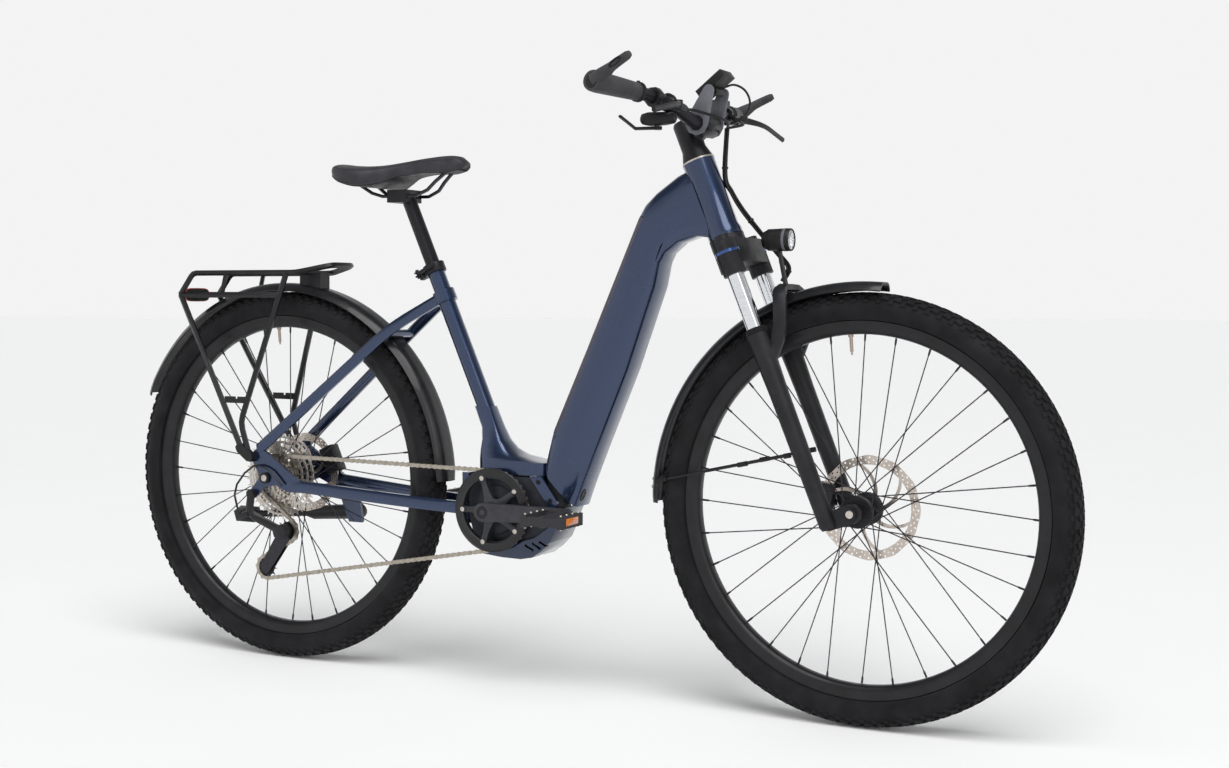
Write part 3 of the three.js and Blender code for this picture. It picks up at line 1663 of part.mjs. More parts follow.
function frontCaliper() {
  const y = stanchionSpread;
  const leg = rod(
    onSteer(-legFootBelow, crownOffset, y),
    onSteer(lowersTop, crownOffset, y),
    bore(legRadius, broadFacets),
    broadFacets,
  );
  const middle = round(frontAxle, frontRotorRadius - caliperOverlap / 2, frontCaliperAngle, frontRotorPlane);
  const post = onSteer(legFootBelow * 2, crownOffset - legRadius * 0.6, y);
  const arm = tube([middle, post], 6, caliperDepth / 4);
  const whole = caliper(frontAxle, frontRotorRadius, frontRotorPlane, frontCaliperAngle, [arm]);
  return cut(whole, leg);
}

function rearCaliper() {
  const middle = round(rearAxle, rearRotorRadius - caliperOverlap / 2, rearCaliperAngle, rearRotorPlane);
  const reach = rearInner - gap - rearRotorPlane;
  const foot = block(
    moved(middle, 0, reach / 2, -caliperDepth / 2),
    ahead,
    across,
    caliperDepth,
    reach,
    caliperDepth / 2,
  );
  const whole = caliper(rearAxle, rearRotorRadius, rearRotorPlane, rearCaliperAngle, [foot]);
  const stay = tube(chainStayRoute(1), 8, chainStayRadius + gap, chainStayHalfWidth + gap);
  return cut(whole, stay, dropout(1, gap));
}

// Drive train
function pitchRadius(teeth) {
  return chainPitch / (2 * Math.sin(Math.PI / teeth));
}

// Teeth between the chain's rollers where it runs, pointed ones where it doesn't.
// Behind the sprocket in use a single corner stands for each tooth.
function toothOutline(centre, teeth, phase, style) {
  const radius = pitchRadius(teeth);
  const root = radius - toothRootDrop;
  const tip = radius + toothTipRise;
  const points = [];
  for (let i = 0; i < teeth; i += 1) {
    const angle = phase + ((i + 0.5) / teeth) * 2 * Math.PI;
    const turn = toothRootHalfWidth / root;
    const corners = {
      running: [[root, -turn], [tip, 0], [root, turn]],
      pointed: [[root, -Math.PI / teeth], [tip, 0]],
    }[style];
    for (const [reach, offset] of corners) {
      points.push([centre.x + reach * Math.cos(angle + offset), centre.z + reach * Math.sin(angle + offset)]);
    }
  }
  return points;
}

const usedTeeth = sprocketTeeth[sprocketInUse];
const usedPlane = -smallSprocketOffset + sprocketInUse * sprocketPitch;
const upperJockey = moved(rearAxle, upperJockeyAhead, 0, -upperJockeyBelow);

function lowerJockeyAt(angle) {
  return round(upperJockey, cageLength, angle);
}

// The chain's course: each wheel with its teeth and its sense of turning.
function courseFor(cageAngle) {
  const stops = [
    { centre: crankCentre, teeth: chainRingTeeth, sense: 1, plane: -chainRingOffset },
    { centre: lowerJockeyAt(cageAngle), teeth: jockeyTeeth, sense: 1, plane: usedPlane },
    { centre: upperJockey, teeth: jockeyTeeth, sense: -1, plane: usedPlane },
    { centre: rearAxle, teeth: usedTeeth, sense: 1, plane: usedPlane },
  ];
  const runs = stops.map((from, i) => {
    const to = stops[(i + 1) % stops.length];
    const course = to.centre.clone().sub(from.centre);
    const distance = course.length();
    const before = from.sense * pitchRadius(from.teeth);
    const after = to.sense * pitchRadius(to.teeth);
    const angle = Math.atan2(course.z, course.x) + Math.asin((after - before) / distance);
    const normal = angle + Math.PI / 2;
    const start = round(from.centre, before, normal, from.plane);
    const end = round(to.centre, after, normal, to.plane);
    return { start, end, angle, links: start.distanceTo(end) / chainPitch };
  });
  const arcs = stops.map((stop, i) => {
    const arriving = runs[(i + stops.length - 1) % stops.length].angle;
    const leaving = runs[i].angle;
    let turn = stop.sense * (arriving - leaving);
    while (turn < 0) {
      turn += 2 * Math.PI;
    }
    const from = arriving + (stop.sense * Math.PI) / 2;
    return { ...stop, from, turn, links: (turn * stop.teeth) / (2 * Math.PI) };
  });
  const links = [...runs, ...arcs].reduce((sum, piece) => sum + piece.links, 0);
  return { runs, arcs, links };
}

// The cage swings until the chain closes on an even number of links.
function settledCageAngle() {
  let low = degrees(215);
  let high = degrees(262);
  const goal = 2 * Math.round(courseFor((low + high) / 2).links / 2);
  const rising = courseFor(high).links > courseFor(low).links;
  for (let i = 0; i < 60; i += 1) {
    const middle = (low + high) / 2;
    if (courseFor(middle).links < goal === rising) {
      low = middle;
    } else {
      high = middle;
    }
  }
  return (low + high) / 2;
}

const cageAngle = settledCageAngle();
const chainCourse = courseFor(cageAngle);
const lowerJockey = lowerJockeyAt(cageAngle);

// Where each roller sits, counted in links along the course.
function rollerPlaces() {
  const places = [];
  const count = Math.round(chainCourse.links);
  const pieces = [];
  chainCourse.arcs.forEach((arc, i) => {
    pieces.push({ arc, links: arc.links });
    pieces.push({ run: chainCourse.runs[i], links: chainCourse.runs[i].links });
  });
  let passed = 0;
  let index = 0;
  for (let k = 0; k < count; k += 1) {
    while (index + 1 < pieces.length && k > passed + pieces[index].links) {
      passed += pieces[index].links;
      index += 1;
    }
    const piece = pieces[index];
    const done = k - passed;
    if (piece.arc) {
      const { centre, teeth, sense, from, plane } = piece.arc;
      const angle = from - (sense * done * 2 * Math.PI) / teeth;
      places.push(round(centre, pitchRadius(teeth), angle, plane));
    } else {
      places.push(between(piece.run.start, piece.run.end, done / piece.links));
    }
  }
  return places;
}

const rollers = rollerPlaces();

// The angle of a roller that lies on a wheel, from which its teeth are set.
function toothPhase(centre, teeth) {
  const reach = pitchRadius(teeth);
  const close = rollers.map((place) => {
    return Math.abs(Math.hypot(place.x - centre.x, place.z - centre.z) - reach);
  });
  const first = close.findIndex((miss, i) => miss < gap / 10 && close[(i + 1) % close.length] < gap / 10);
  return Math.atan2(rollers[first].z - centre.z, rollers[first].x - centre.x);
}

// A closed ladder: two side plates joined by a roller at every link. Each link has
// one outer corner row and two inner rows, at both ends of its roller.
function chain() {
  const count = rollers.length;
  const half = chainRollerLength / 2;
  const tall = chainPlateHeight / 2;
  const outer = chainInnerHalf + chainPlateThickness;
  const corners = [];
  rollers.forEach((place, i) => {
    const before = rollers[(i + count - 1) % count];
    const after = rollers[(i + 1) % count];
    const course = after.clone().sub(before).normalize();
    const rise = course.clone().cross(across).normalize();
    for (const height of [-tall, tall]) {
      for (const side of [-1, 1]) {
        const middle = place.clone().addScaledVector(rise, height);
        corners.push(middle.clone().addScaledVector(across, side * outer));
        middle.addScaledVector(across, side * chainInnerHalf);
        corners.push(middle.clone().addScaledVector(course, -half));
        corners.push(middle.clone().addScaledVector(course, half));
      }
    }
  });
  const faces = [];
  const rowLength = 12;
  for (let i = 0; i < count; i += 1) {
    const here = i * rowLength;
    const next = ((i + 1) % count) * rowLength;
    for (const level of [0, 6]) {
      const face = (a, b, c) => (level === 0 ? faces.push(a, b, c) : faces.push(c, b, a));
      const low = here + level;
      const far = next + level;
      face(low, low + 2, low + 1);
      face(low, far + 1, low + 2);
      face(low, far, far + 1);
      face(low + 3, low + 4, low + 5);
      face(low + 3, low + 5, far + 4);
      face(low + 3, far + 4, far + 3);
      face(low + 1, low + 2, low + 5);
      face(low + 1, low + 5, low + 4);
    }
    const wall = (a, b, c, d) => faces.push(a, b, c, a, c, d);
    wall(here, here + 6, next + 6, next);
    wall(here + 3, next + 3, next + 9, here + 9);
    wall(here + 2, next + 1, next + 7, here + 8);
    wall(here + 5, here + 11, next + 10, next + 4);
    wall(here + 2, here + 8, here + 11, here + 5);
    wall(here + 1, here + 4, here + 10, here + 7);
  }
  const geometry = new THREE.BufferGeometry().setFromPoints(corners);
  geometry.setIndex(faces);
  return geometry;
}

function chainRing() {
  const phase = toothPhase(crankCentre, chainRingTeeth);
  const outline = toothOutline(crankCentre, chainRingTeeth, phase, "running");
  const y = -chainRingOffset;
  const hole = circle(crankCentre.x, crankCentre.z, ringInnerRadius, guardFacets);
  const ring = plate(outline, y - ringThickness / 2, y + ringThickness / 2, [hole]);
  const outerFace = guardClearance + guardThickness;
  const profile = [
    [guardInnerRadius, 0],
    [guardStepRadius, 0],
    [guardStepRadius, guardClearance],
    [guardOuterRadius, guardClearance],
    [guardOuterRadius, outerFace],
    [guardInnerRadius, outerFace],
    [guardInnerRadius, 0],
  ];
  const guard = turned(profile, guardFacets, moved(crankCentre, 0, y, 0), across.clone().negate());
  const armPlane = y - outerFace;
  const hubDepth = spiderThickness * 1.6;
  const spider = [
    bored(
      moved(crankCentre, 0, armPlane, 0),
      across,
      spiderHubRadius,
      bore(spindleRadius, broadFacets),
      hubDepth,
      broadFacets,
    ),
  ];
  for (let i = 0; i < spiderArmCount; i += 1) {
    const angle = crankAngle + ((i + 0.5) / spiderArmCount) * 2 * Math.PI;
    spider.push(spiderArm(angle, armPlane, armPlane + spiderThickness));
  }
  return join(ring, guard, ...spider);
}

function spiderArm(angle, from, to) {
  const along = at(Math.cos(angle), 0, Math.sin(angle));
  const aside = at(-Math.sin(angle), 0, Math.cos(angle));
  const corner = (reach, offset) => {
    const point = crankCentre.clone().addScaledVector(along, reach).addScaledVector(aside, offset);
    return [point.x, point.z];
  };
  const inner = spiderHubRadius - overrun;
  const outer = guardInnerRadius + overrun / 2;
  const outline = [
    corner(inner, -spiderArmRootWidth / 2),
    corner(outer, -spiderArmTipWidth / 2),
    corner(outer, spiderArmTipWidth / 2),
    corner(inner, spiderArmRootWidth / 2),
  ];
  return plate(outline, from, to);
}

function cassette() {
  const pieces = [];
  const last = sprocketTeeth.length - 1;
  const start = moved(rearAxle, 0, -smallSprocketOffset - sprocketPitch / 2, 0);
  const length = last * sprocketPitch + sprocketPitch;
  const end = moved(start, 0, length, 0);
  pieces.push(rod(start, end, cassetteCoreRadius, coreFacets));
  sprocketTeeth.forEach((teeth, i) => {
    const y = -smallSprocketOffset + i * sprocketPitch;
    const used = i === sprocketInUse;
    const phase = used ? toothPhase(rearAxle, teeth) : 0;
    const toothed = toothOutline(rearAxle, teeth, phase, used ? "running" : "pointed");
    const plain = circle(rearAxle.x, rearAxle.z, pitchRadius(teeth), plainSprocketFacets);
    const outline = i > sprocketInUse ? plain : toothed;
    pieces.push(plate(outline, y - sprocketThickness / 2, y + sprocketThickness / 2));
  });
  const hollow = rod(
    moved(start, 0, -overrun, 0),
    moved(end, 0, overrun, 0),
    bore(freehubRadius, coreFacets),
    coreFacets,
  );
  return cut(join(...pieces), hollow);
}

function jockey(centre) {
  const phase = toothPhase(centre, jockeyTeeth);
  const outline = toothOutline(centre, jockeyTeeth, phase, "running");
  const y = usedPlane;
  const hole = circle(centre.x, centre.z, bore(jockeyBoreRadius, 8), 8);
  return plate(outline, y - ringThickness / 2, y + ringThickness / 2, [hole]);
}

function derailleurCage() {
  const pieces = [];
  for (const side of [-1, 1]) {
    const inner = usedPlane + side * cageHalfGap;
    const outline = link(upperJockey, cageEndRadius, lowerJockey, cageEndRadius * 0.8, 6);
    pieces.push(plate(outline, inner, inner + side * cagePlateThickness));
  }
  const reach = cageHalfGap + cagePlateThickness / 2;
  for (const centre of [upperJockey, lowerJockey]) {
    pieces.push(
      rod(
        moved(centre, 0, usedPlane - reach, 0),
        moved(centre, 0, usedPlane + reach, 0),
        jockeyBoreRadius,
        slimFacets,
      ),
    );
  }
  return join(...pieces);
}

function derailleurBody() {
  const inner = usedPlane - cageHalfGap - cagePlateThickness - gap;
  const outer = inner - derailleurDepth;
  const knuckle = rod(
    moved(upperJockey, 0, inner, 0),
    moved(upperJockey, 0, outer, 0),
    derailleurKnuckleRadius,
    roundFacets,
  );
  const boltOuter = -rearInner - hangerThickness - gap;
  const boltPlate = boltOuter - derailleurDepth / 2;
  const mount = rod(
    moved(hangerBolt, 0, boltOuter, 0),
    moved(hangerBolt, 0, boltPlate, 0),
    hangerRadius * 0.9,
    slimFacets,
  );
  const armStart = moved(hangerBolt, 0, (boltOuter + boltPlate) / 2, 0);
  const elbow = moved(
    hangerBolt,
    -hangerRadius * 0.6,
    (boltOuter + boltPlate) / 2,
    -derailleurArmWidth * 1.5,
  );
  const armEnd = moved(upperJockey, 0, (inner + outer) / 2, 0);
  const half = derailleurArmWidth / 2;
  const arm = tube(
    rounded([armStart, elbow, armEnd], 0.35, 2),
    6,
    half * 0.75,
    derailleurDepth / 4,
  );
  const barrel = moved(elbow, -derailleurArmWidth * 0.9, 0, -half / 2);
  const barrelBody = rod(elbow, barrel, housingRadius * 3, 6);
  return join(knuckle, mount, arm, barrelBody, derailleurHousing(barrel));
}

// The loop of cable housing from the chain stay's end to the derailleur.
function derailleurHousing(barrel) {
  const outside = -rearInner - dropoutThickness / 2 - chainStayHalfWidth - housingRadius - gap;
  const start = moved(rearAxle, dropoutReach * 0.75, outside, -chainStayRadius);
  const rise = moved(rearAxle, dropoutReach * 0.2, outside, dropoutReach * 0.3);
  const crest = moved(rearAxle, -dropoutReach * 0.4, outside, dropoutReach * 0.38);
  const fall = at(barrel.x - dropoutReach * 0.15, outside, (crest.z + barrel.z) / 2);
  const curve = new THREE.CatmullRomCurve3([start, rise, crest, fall, barrel]);
  return tube(curve.getPoints(10), 5, housingRadius);
}

function rightCrank() {
  const tip = round(crankCentre, crankLength, crankAngle);
  const outline = link(crankCentre, crankBossRadius, tip, crankTipRadius, 6);
  const outer = -crankOuterOffset;
  const arm = plate(outline, outer, outer + crankThickness);
  const bossEnd = -chainRingOffset - guardClearance - guardThickness - gap;
  const boss = rod(
    moved(crankCentre, 0, outer, 0),
    moved(crankCentre, 0, bossEnd, 0),
    crankBossRadius,
    broadFacets,
  );
  const spindle = rod(
    moved(crankCentre, 0, outer + crankThickness / 2 - gap, 0),
    moved(crankCentre, 0, 0, 0),
    bore(spindleRadius, roundFacets),
    roundFacets,
  );
  return join(cut(join(arm, boss), spindle), pedalAxle(tip, -1));
}

function pedalAxle(tip, side) {
  const start = moved(tip, 0, side * (crankOuterOffset - overrun), 0);
  const end = moved(tip, 0, side * (crankOuterOffset + pedalInset + pedalWidth * 0.8), 0);
  return rod(start, end, pedalAxleRadius, 8);
}

function leftCrank() {
  const tip = round(crankCentre, crankLength, crankAngle + Math.PI);
  const outline = link(crankCentre, crankBossRadius, tip, crankTipRadius, 6);
  const outer = crankOuterOffset;
  const arm = plate(outline, outer - crankThickness, outer);
  const bossEnd = motorHalfWidth + motorDiscDepth + gap;
  const boss = rod(
    moved(crankCentre, 0, outer, 0),
    moved(crankCentre, 0, bossEnd, 0),
    crankBossRadius,
    broadFacets,
  );
  const spindle = rod(
    moved(crankCentre, 0, outer - crankThickness / 2, 0),
    moved(crankCentre, 0, -crankOuterOffset + crankThickness / 2, 0),
    spindleRadius,
    roundFacets,
  );
  return join(arm, boss, spindle, pedalAxle(tip, 1));
}

function pedal(side) {
  const tip = round(crankCentre, crankLength, side < 0 ? crankAngle : crankAngle + Math.PI);
  const inner = crankOuterOffset + pedalInset;
  const middle = moved(tip, 0, side * (inner + pedalWidth / 2), 0);
  const pieces = [];
  for (const end of [-1, 1]) {
    const x = end * (pedalLength - pedalRail) * 0.5;
    pieces.push(block(moved(middle, x, 0, 0), ahead, across, pedalRail, pedalWidth, pedalHeight));
    const y = end * (pedalWidth - pedalRail) * 0.5;
    pieces.push(block(
      moved(middle, 0, y, 0),
      ahead,
      across,
      pedalLength - pedalRail,
      pedalRail,
      pedalHeight * 0.7,
    ));
  }
  const bossStart = moved(tip, 0, side * inner, 0);
  const bossEnd = moved(tip, 0, side * (inner + pedalWidth), 0);
  pieces.push(rod(bossStart, bossEnd, pedalHubRadius, 8));
  const hollow = rod(
    moved(tip, 0, side * (inner - overrun), 0),
    moved(tip, 0, side * (crankOuterOffset + pedalInset + pedalWidth * 0.8 + gap), 0),
    bore(pedalAxleRadius, 8),
    8,
  );
  return cut(join(...pieces), hollow);
}

// Side stand

function sideStand() {
  const rear = moved(standPivot, -standLength, 0, 0).addScaledVector(standRise, -standDrop);
  const headHalf = standHeadThickness / 2;
  const head = rod(
    standPivot.clone().addScaledVector(standAxis, -headHalf),
    standPivot.clone().addScaledVector(standAxis, headHalf),
    standHeadRadius,
    broadFacets,
  );
  const shares = [0, 0.4, 0.46, 1];
  const high = [standHeadRadius, standHeadRadius * 0.9, standRadius, standRadius];
  const wide = [headHalf, headHalf, standRadius, standRadius];
  const leg = tube(shares.map((share) => between(standPivot, rear, share)), 8, high, wide, standAxis);
  const foot = block(rear, ahead, standAxis, standFootLength, standFootWidth, standFootThickness);
  return join(head, leg, foot);
}

// Cockpit
const barCentre = onSteer(barAlong, barAhead);

function barPoint([x, y, z], side) {
  return moved(barCentre, x, side * y, z);
}

function barCourse() {
  const right = barRoute.map((place) => barPoint(place, -1)).reverse();
  const left = barRoute.map((place) => barPoint(place, 1));
  return rounded([...right, ...left], 0.3, 1);
}

// The point of the handlebar's centre line at a distance to one side.
function onBar(offset, side) {
  for (let i = 0; i + 1 < barRoute.length; i += 1) {
    const near = barRoute[i];
    const far = barRoute[i + 1];
    if (offset <= far[1]) {
      const share = (offset - near[1]) / (far[1] - near[1]);
      return between(barPoint(near, side), barPoint(far, side), share);
    }
  }
  return barPoint(barRoute[barRoute.length - 1], side);
}

function handlebar(grow) {
  const course = barCourse();
  const last = course.length - 1;
  const rightWay = course[0].clone().sub(course[1]).normalize();
  const leftWay = course[last].clone().sub(course[last - 1]).normalize();
  course[0].addScaledVector(rightWay, grow);
  course[last].addScaledVector(leftWay, grow);
  const radii = course.map((point) => {
    return (Math.abs(point.y) <= barRoute[0][1] + gap ? barClampRadius : barGripRadius) + grow;
  });
  return tube(course, 8, radii, radii, upright);
}

function stem() {
  const start = onSteer(headTubeTop + gap);
  const length = stemColumnTop - headTubeTop - gap;
  const column = turned(
    [
      [0, 0],
      [headTubeRadius, 0],
      [stemColumnRadius, length * 0.3],
      [stemColumnRadius, length * 0.94],
      [stemColumnRadius * 0.9, length],
      [0, length],
    ],
    broadFacets,
    start,
    steerUp,
  );
  const clamp = rod(
    moved(barCentre, 0, -stemClampHalfWidth, 0),
    moved(barCentre, 0, stemClampHalfWidth, 0),
    stemClampRadius,
    broadFacets,
  );
  const arm = tube(
    [onSteer(barAlong - stemClampRadius / 2), onSteer(barAlong, barAhead)],
    8,
    stemClampRadius * 0.9,
    stemArmWidth / 2,
  );
  const steererBore = rod(
    onSteer(headTubeTop - overrun),
    onSteer(stemColumnTop - overrun + gap),
    bore(steererRadius, broadFacets),
    broadFacets,
  );
  return cut(join(column, clamp, arm), steererBore, handlebar(gap));
}

function gripCourse(side) {
  const inner = onBar(gripInner, side);
  const end = barPoint(barRoute[barRoute.length - 1], side);
  const course = end.clone().sub(inner).normalize();
  return { inner, end: end.addScaledVector(course, gripEndThickness) };
}

function grip(side) {
  const { inner, end } = gripCourse(side);
  const shares = [0, 0.06, 0.45, 0.8, 0.86, 1];
  const points = shares.map((share) => between(inner, end, share));
  const core = gripRadiusOuter;
  const high = [gripRadiusInner, gripRadiusInner, core, core, core + 1.5, core];
  const wide = [gripRadiusInner, gripRadiusInner, core + gripPalm * 0.4, core + gripPalm, core + 1.5, core];
  points.forEach((point, i) => {
    point.addScaledVector(ahead, -(wide[i] - high[i]));
  });
  const body = tube(points, 8, high, wide, ahead);
  const hornStart = between(inner, end, 0.93);
  const hornWay = at(Math.cos(hornRise), side * Math.sin(hornRise) * 0.4, Math.sin(hornRise));
  const hornMid = hornStart.clone().addScaledVector(hornWay, hornLength * 0.55);
  const hornTip = hornStart.clone().addScaledVector(hornWay, hornLength);
  hornTip.addScaledVector(upright, -hornRadius * 0.4);
  const horn = tube(
    [hornStart, between(hornStart, hornMid, 0.6), hornMid, between(hornMid, hornTip, 0.8), hornTip],
    6,
    [hornRootRadius, hornRootRadius * 0.8, hornRadius, hornRadius * 0.9, hornRadius * 0.5],
    [hornRadius, hornRadius, hornRadius * 0.8, hornRadius * 0.8, hornRadius * 0.5],
  );
  const slotCentre = between(hornMid, hornTip, 0.35);
  const slotWay = hornTip.clone().sub(hornMid).normalize();
  const slotSide = slotWay.clone().cross(across).normalize();
  const slot = block(slotCentre, slotWay, slotSide, hornSlotLength, hornSlotWidth, hornRadius * 6);
  return cut(join(body, horn), slot, handlebar(gap));
}

// The lever's hinge, ahead of the bar and a little below it.
function leverHinge(side) {
  const base = onBar(brakeClampOffset, side);
  const inboard = side * (brakeClampWidth - brakeBodyLength / 2);
  return moved(base, brakeBodyAhead + brakeBodyRadius, inboard * 0.4, -brakeBodyDrop);
}

// The brake's tank lies ahead of the bar, along it.
function brakeTank(side) {
  const base = onBar(brakeClampOffset, side);
  const course = onBar(brakeClampOffset + brakeClampWidth, side).sub(base).normalize();
  const centre = moved(base, brakeBodyAhead, 0, -brakeBodyDrop);
  const inboard = centre.clone().addScaledVector(course, -brakeBodyLength * tankInboardShare);
  const outboard = centre.clone().addScaledVector(course, brakeBodyLength * tankOutboardShare);
  return { base, course, centre, inboard, outboard };
}

function brakeBody(side) {
  const { base, course, centre, inboard, outboard } = brakeTank(side);
  const start = base.clone().addScaledVector(course, -brakeClampWidth / 2);
  const clamp = rod(
    start,
    start.clone().addScaledVector(course, brakeClampWidth),
    brakeClampRadius,
    slimFacets,
  );
  const radii = [brakeBodyRadius * tankTaperShare, brakeBodyRadius, brakeBodyRadius];
  const tank = tube([inboard, between(inboard, outboard, 0.5), outboard], 8, radii, radii, ahead);
  const neck = tube([base, centre], 6, brakeClampWidth / 2);
  const hinge = leverHinge(side);
  const room = rod(
    moved(hinge, 0, 0, -brakeBodyRadius * 2),
    moved(hinge, 0, 0, brakeBodyRadius * 2),
    bore(leverHingeRadius, slimFacets),
    slimFacets,
  );
  const pieces = [clamp, tank, neck];
  if (side > 0) {
    pieces.push(remote(side));
  }
  return cut(join(...pieces), room, handlebar(gap));
}

// The small keypad beside the left grip.
function remote(side) {
  const place = onBar(brakeClampOffset - brakeClampWidth / 2, side);
  const centre = moved(
    place,
    -remoteLength * 0.2,
    -side * remoteWidth * 0.4,
    barGripRadius + remoteThickness / 2,
  );
  return block(centre, ahead, across, remoteLength, remoteWidth, remoteThickness);
}

function brakeLever(side) {
  const hinge = leverHinge(side);
  const boss = rod(
    moved(hinge, 0, 0, -leverWidth / 2),
    moved(hinge, 0, 0, leverWidth / 2),
    leverHingeRadius,
    slimFacets,
  );
  const tip = moved(hinge, leverForward, side * leverLength, -leverSag);
  const elbow = moved(hinge, leverForward, side * leverLength * 0.3, -leverSag * 0.2);
  const route = rounded([hinge, elbow, tip], 0.6, 3);
  const count = route.length;
  const high = route.map((point, i) => {
    const waist = 1 - leverWaistShare * Math.sin((Math.PI * i) / count);
    return (leverWidth / 2) * (i === count - 1 ? leverTipShare : waist);
  });
  const blade = tube(route, 6, high, leverThickness / 2, ahead);
  return join(boss, blade);
}

const shifterPlace = moved(onBar(shifterOffset, -1), -shifterSetback, 0, -shifterDrop);

function shifter() {
  const base = onBar(shifterOffset, -1);
  const next = onBar(shifterOffset + brakeClampWidth, -1);
  const course = next.clone().sub(base).normalize();
  const start = base.clone().addScaledVector(course, -brakeClampWidth / 2);
  const clamp = rod(
    start,
    start.clone().addScaledVector(course, brakeClampWidth),
    brakeClampRadius,
    slimFacets,
  );
  const level = at(course.x, course.y, 0).normalize();
  const body = block(shifterPlace, level, ahead, shifterLength, shifterWidth, shifterHeight);
  return cut(join(clamp, body), handlebar(gap));
}

function shiftLever() {
  const pivot = moved(shifterPlace, 0, 0, -shifterHeight / 2 - gap);
  const boss = rod(pivot, moved(pivot, 0, 0, -shiftPaddleThickness), shiftPaddleWidth / 2, slimFacets);
  const root = moved(pivot, 0, 0, -shiftPaddleThickness / 2);
  const elbow = moved(root, -shifterWidth * 0.66, -shiftPaddleLength * 0.25, -gap);
  const tip = moved(elbow, -shiftPaddleLength * 0.3, -shiftPaddleLength * 0.7, shiftPaddleRise);
  const half = shiftPaddleWidth / 2;
  const arm = tube([root, elbow, tip], 6, shiftPaddleThickness / 2, [half * 0.6, half * 0.7, half], ahead);
  return join(boss, arm);
}

const displayPivot = moved(barCentre, bracketLean, 0, bracketHeight);

function displayBracket() {
  const pieces = [];
  for (const side of [-1, 1]) {
    const inner = side * bracketHalfWidth;
    const outline = link(
      barCentre,
      barClampRadius + bracketArmThickness,
      displayPivot,
      bracketArmWidth / 2,
      5,
    );
    pieces.push(plate(outline, inner, inner + side * bracketArmThickness));
  }
  const pin = rod(
    moved(displayPivot, 0, -bracketHalfWidth - bracketArmThickness / 2, 0),
    moved(displayPivot, 0, bracketHalfWidth + bracketArmThickness / 2, 0),
    displayPivotRadius,
    8,
  );
  return cut(join(pin, ...pieces), handlebar(gap));
}

function display() {
  const up = ahead.clone().applyAxisAngle(across, -displayTilt);
  const out = across.clone().cross(up).negate();
  const centre = displayPivot.clone().addScaledVector(out, displayThickness / 2 + displayPivotRadius);
  centre.addScaledVector(up, displayLength * 0.1);
  const body = block(centre, up, across, displayLength, displayWidth, displayThickness);
  const lug = rod(
    moved(displayPivot, 0, -displayWidth / 3, 0),
    moved(displayPivot, 0, displayWidth / 3, 0),
    displayPivotRadius * 2,
    slimFacets,
  );
  const hollow = rod(
    moved(displayPivot, 0, -displayWidth, 0),
    moved(displayPivot, 0, displayWidth, 0),
    bore(displayPivotRadius, 8),
    8,
  );
  return cut(join(body, lug), hollow);
}

// Head light on its bracket
const headLightCentre = onSteer(headLightAlong, headLightAhead);

function headLight() {
  const start = moved(headLightCentre, -headLightLength / 2, 0, 0);
  const profile = [
    [0, 0],
    [headLightRadius * 0.7, 0],
    [headLightRadius * 0.92, headLightLength * 0.2],
    [headLightRadius, headLightLength * 0.75],
    [headLightRadius, headLightLength],
    [headLightRadius * 0.85, headLightLength],
    [0, headLightLength * 0.9],
  ];
  const body = turned(profile, broadFacets, start, ahead);
  const foot = onSteer(archTop + archThickness * headLightFootShare + gap, archAhead, 0);
  const strap = tube(
    [foot, between(foot, headLightCentre, 0.5), headLightCentre],
    4,
    headLightBracketThickness,
    headLightBracketWidth / 2,
  );
  return join(body, strap);
}

// Cables from the levers, gathered and led down the head tube to the fork.
function controlCables() {
  const seatRadius = headTubeRadius + bundleRadius + 5 * gap;
  const seat = (share) => {
    const reach = Math.sqrt(seatRadius ** 2 - bundleSide ** 2);
    return onSteer(axleToHeadTube + headTubeLength * share, reach, bundleSide);
  };
  const below = bundleRoute.map(([along, forward, side]) => onSteer(along, forward, side));
  const gather = onSteer(bundleTop, bundleTopAhead, bundleSide);
  const course = [gather, seat(0.72), seat(0.5), ...below];
  const pieces = [tube(new THREE.CatmullRomCurve3(course).getPoints(14), 5, bundleRadius)];
  for (const side of [-1, 1]) {
    const { course: way, inboard } = brakeTank(side);
    const start = inboard.clone().addScaledVector(way, -gap);
    const straight = start.clone().addScaledVector(way, -2 * cableRadius);
    const out = inboard.clone().addScaledVector(way, -hoseLead);
    out.addScaledVector(ahead, hoseLead / 2);
    const loop = between(out, gather, 0.6).addScaledVector(ahead, hoseLead);
    const curve = new THREE.CatmullRomCurve3([start, straight, out, loop, gather]);
    pieces.push(tube(curve.getPoints(7), 5, cableRadius));
  }
  return join(...pieces);
}

// Assembly: each moving body is a group placed at its pivot
const bicycle = new THREE.Group();
bicycle.name = "bicycle";

function bodyAt(name, pivot, parent = bicycle) {
  const body = new THREE.Group();
  body.name = name;
  body.userData.pivot = pivot;
  const origin = parent.userData.pivot ?? at(0, 0, 0);
  body.position.copy(pivot).sub(origin);
  parent.add(body);
  return body;
}

function add(name, geometry, finish, body = bicycle) {
  const pivot = body.userData.pivot ?? at(0, 0, 0);
  const placed = weld(geometry);
  placed.translate(-pivot.x, -pivot.y, -pivot.z);
  placed.computeVertexNormals();
  const mesh = new THREE.Mesh(placed, new THREE.MeshStandardMaterial(finishes[finish]));
  mesh.name = name;
  body.add(mesh);
}

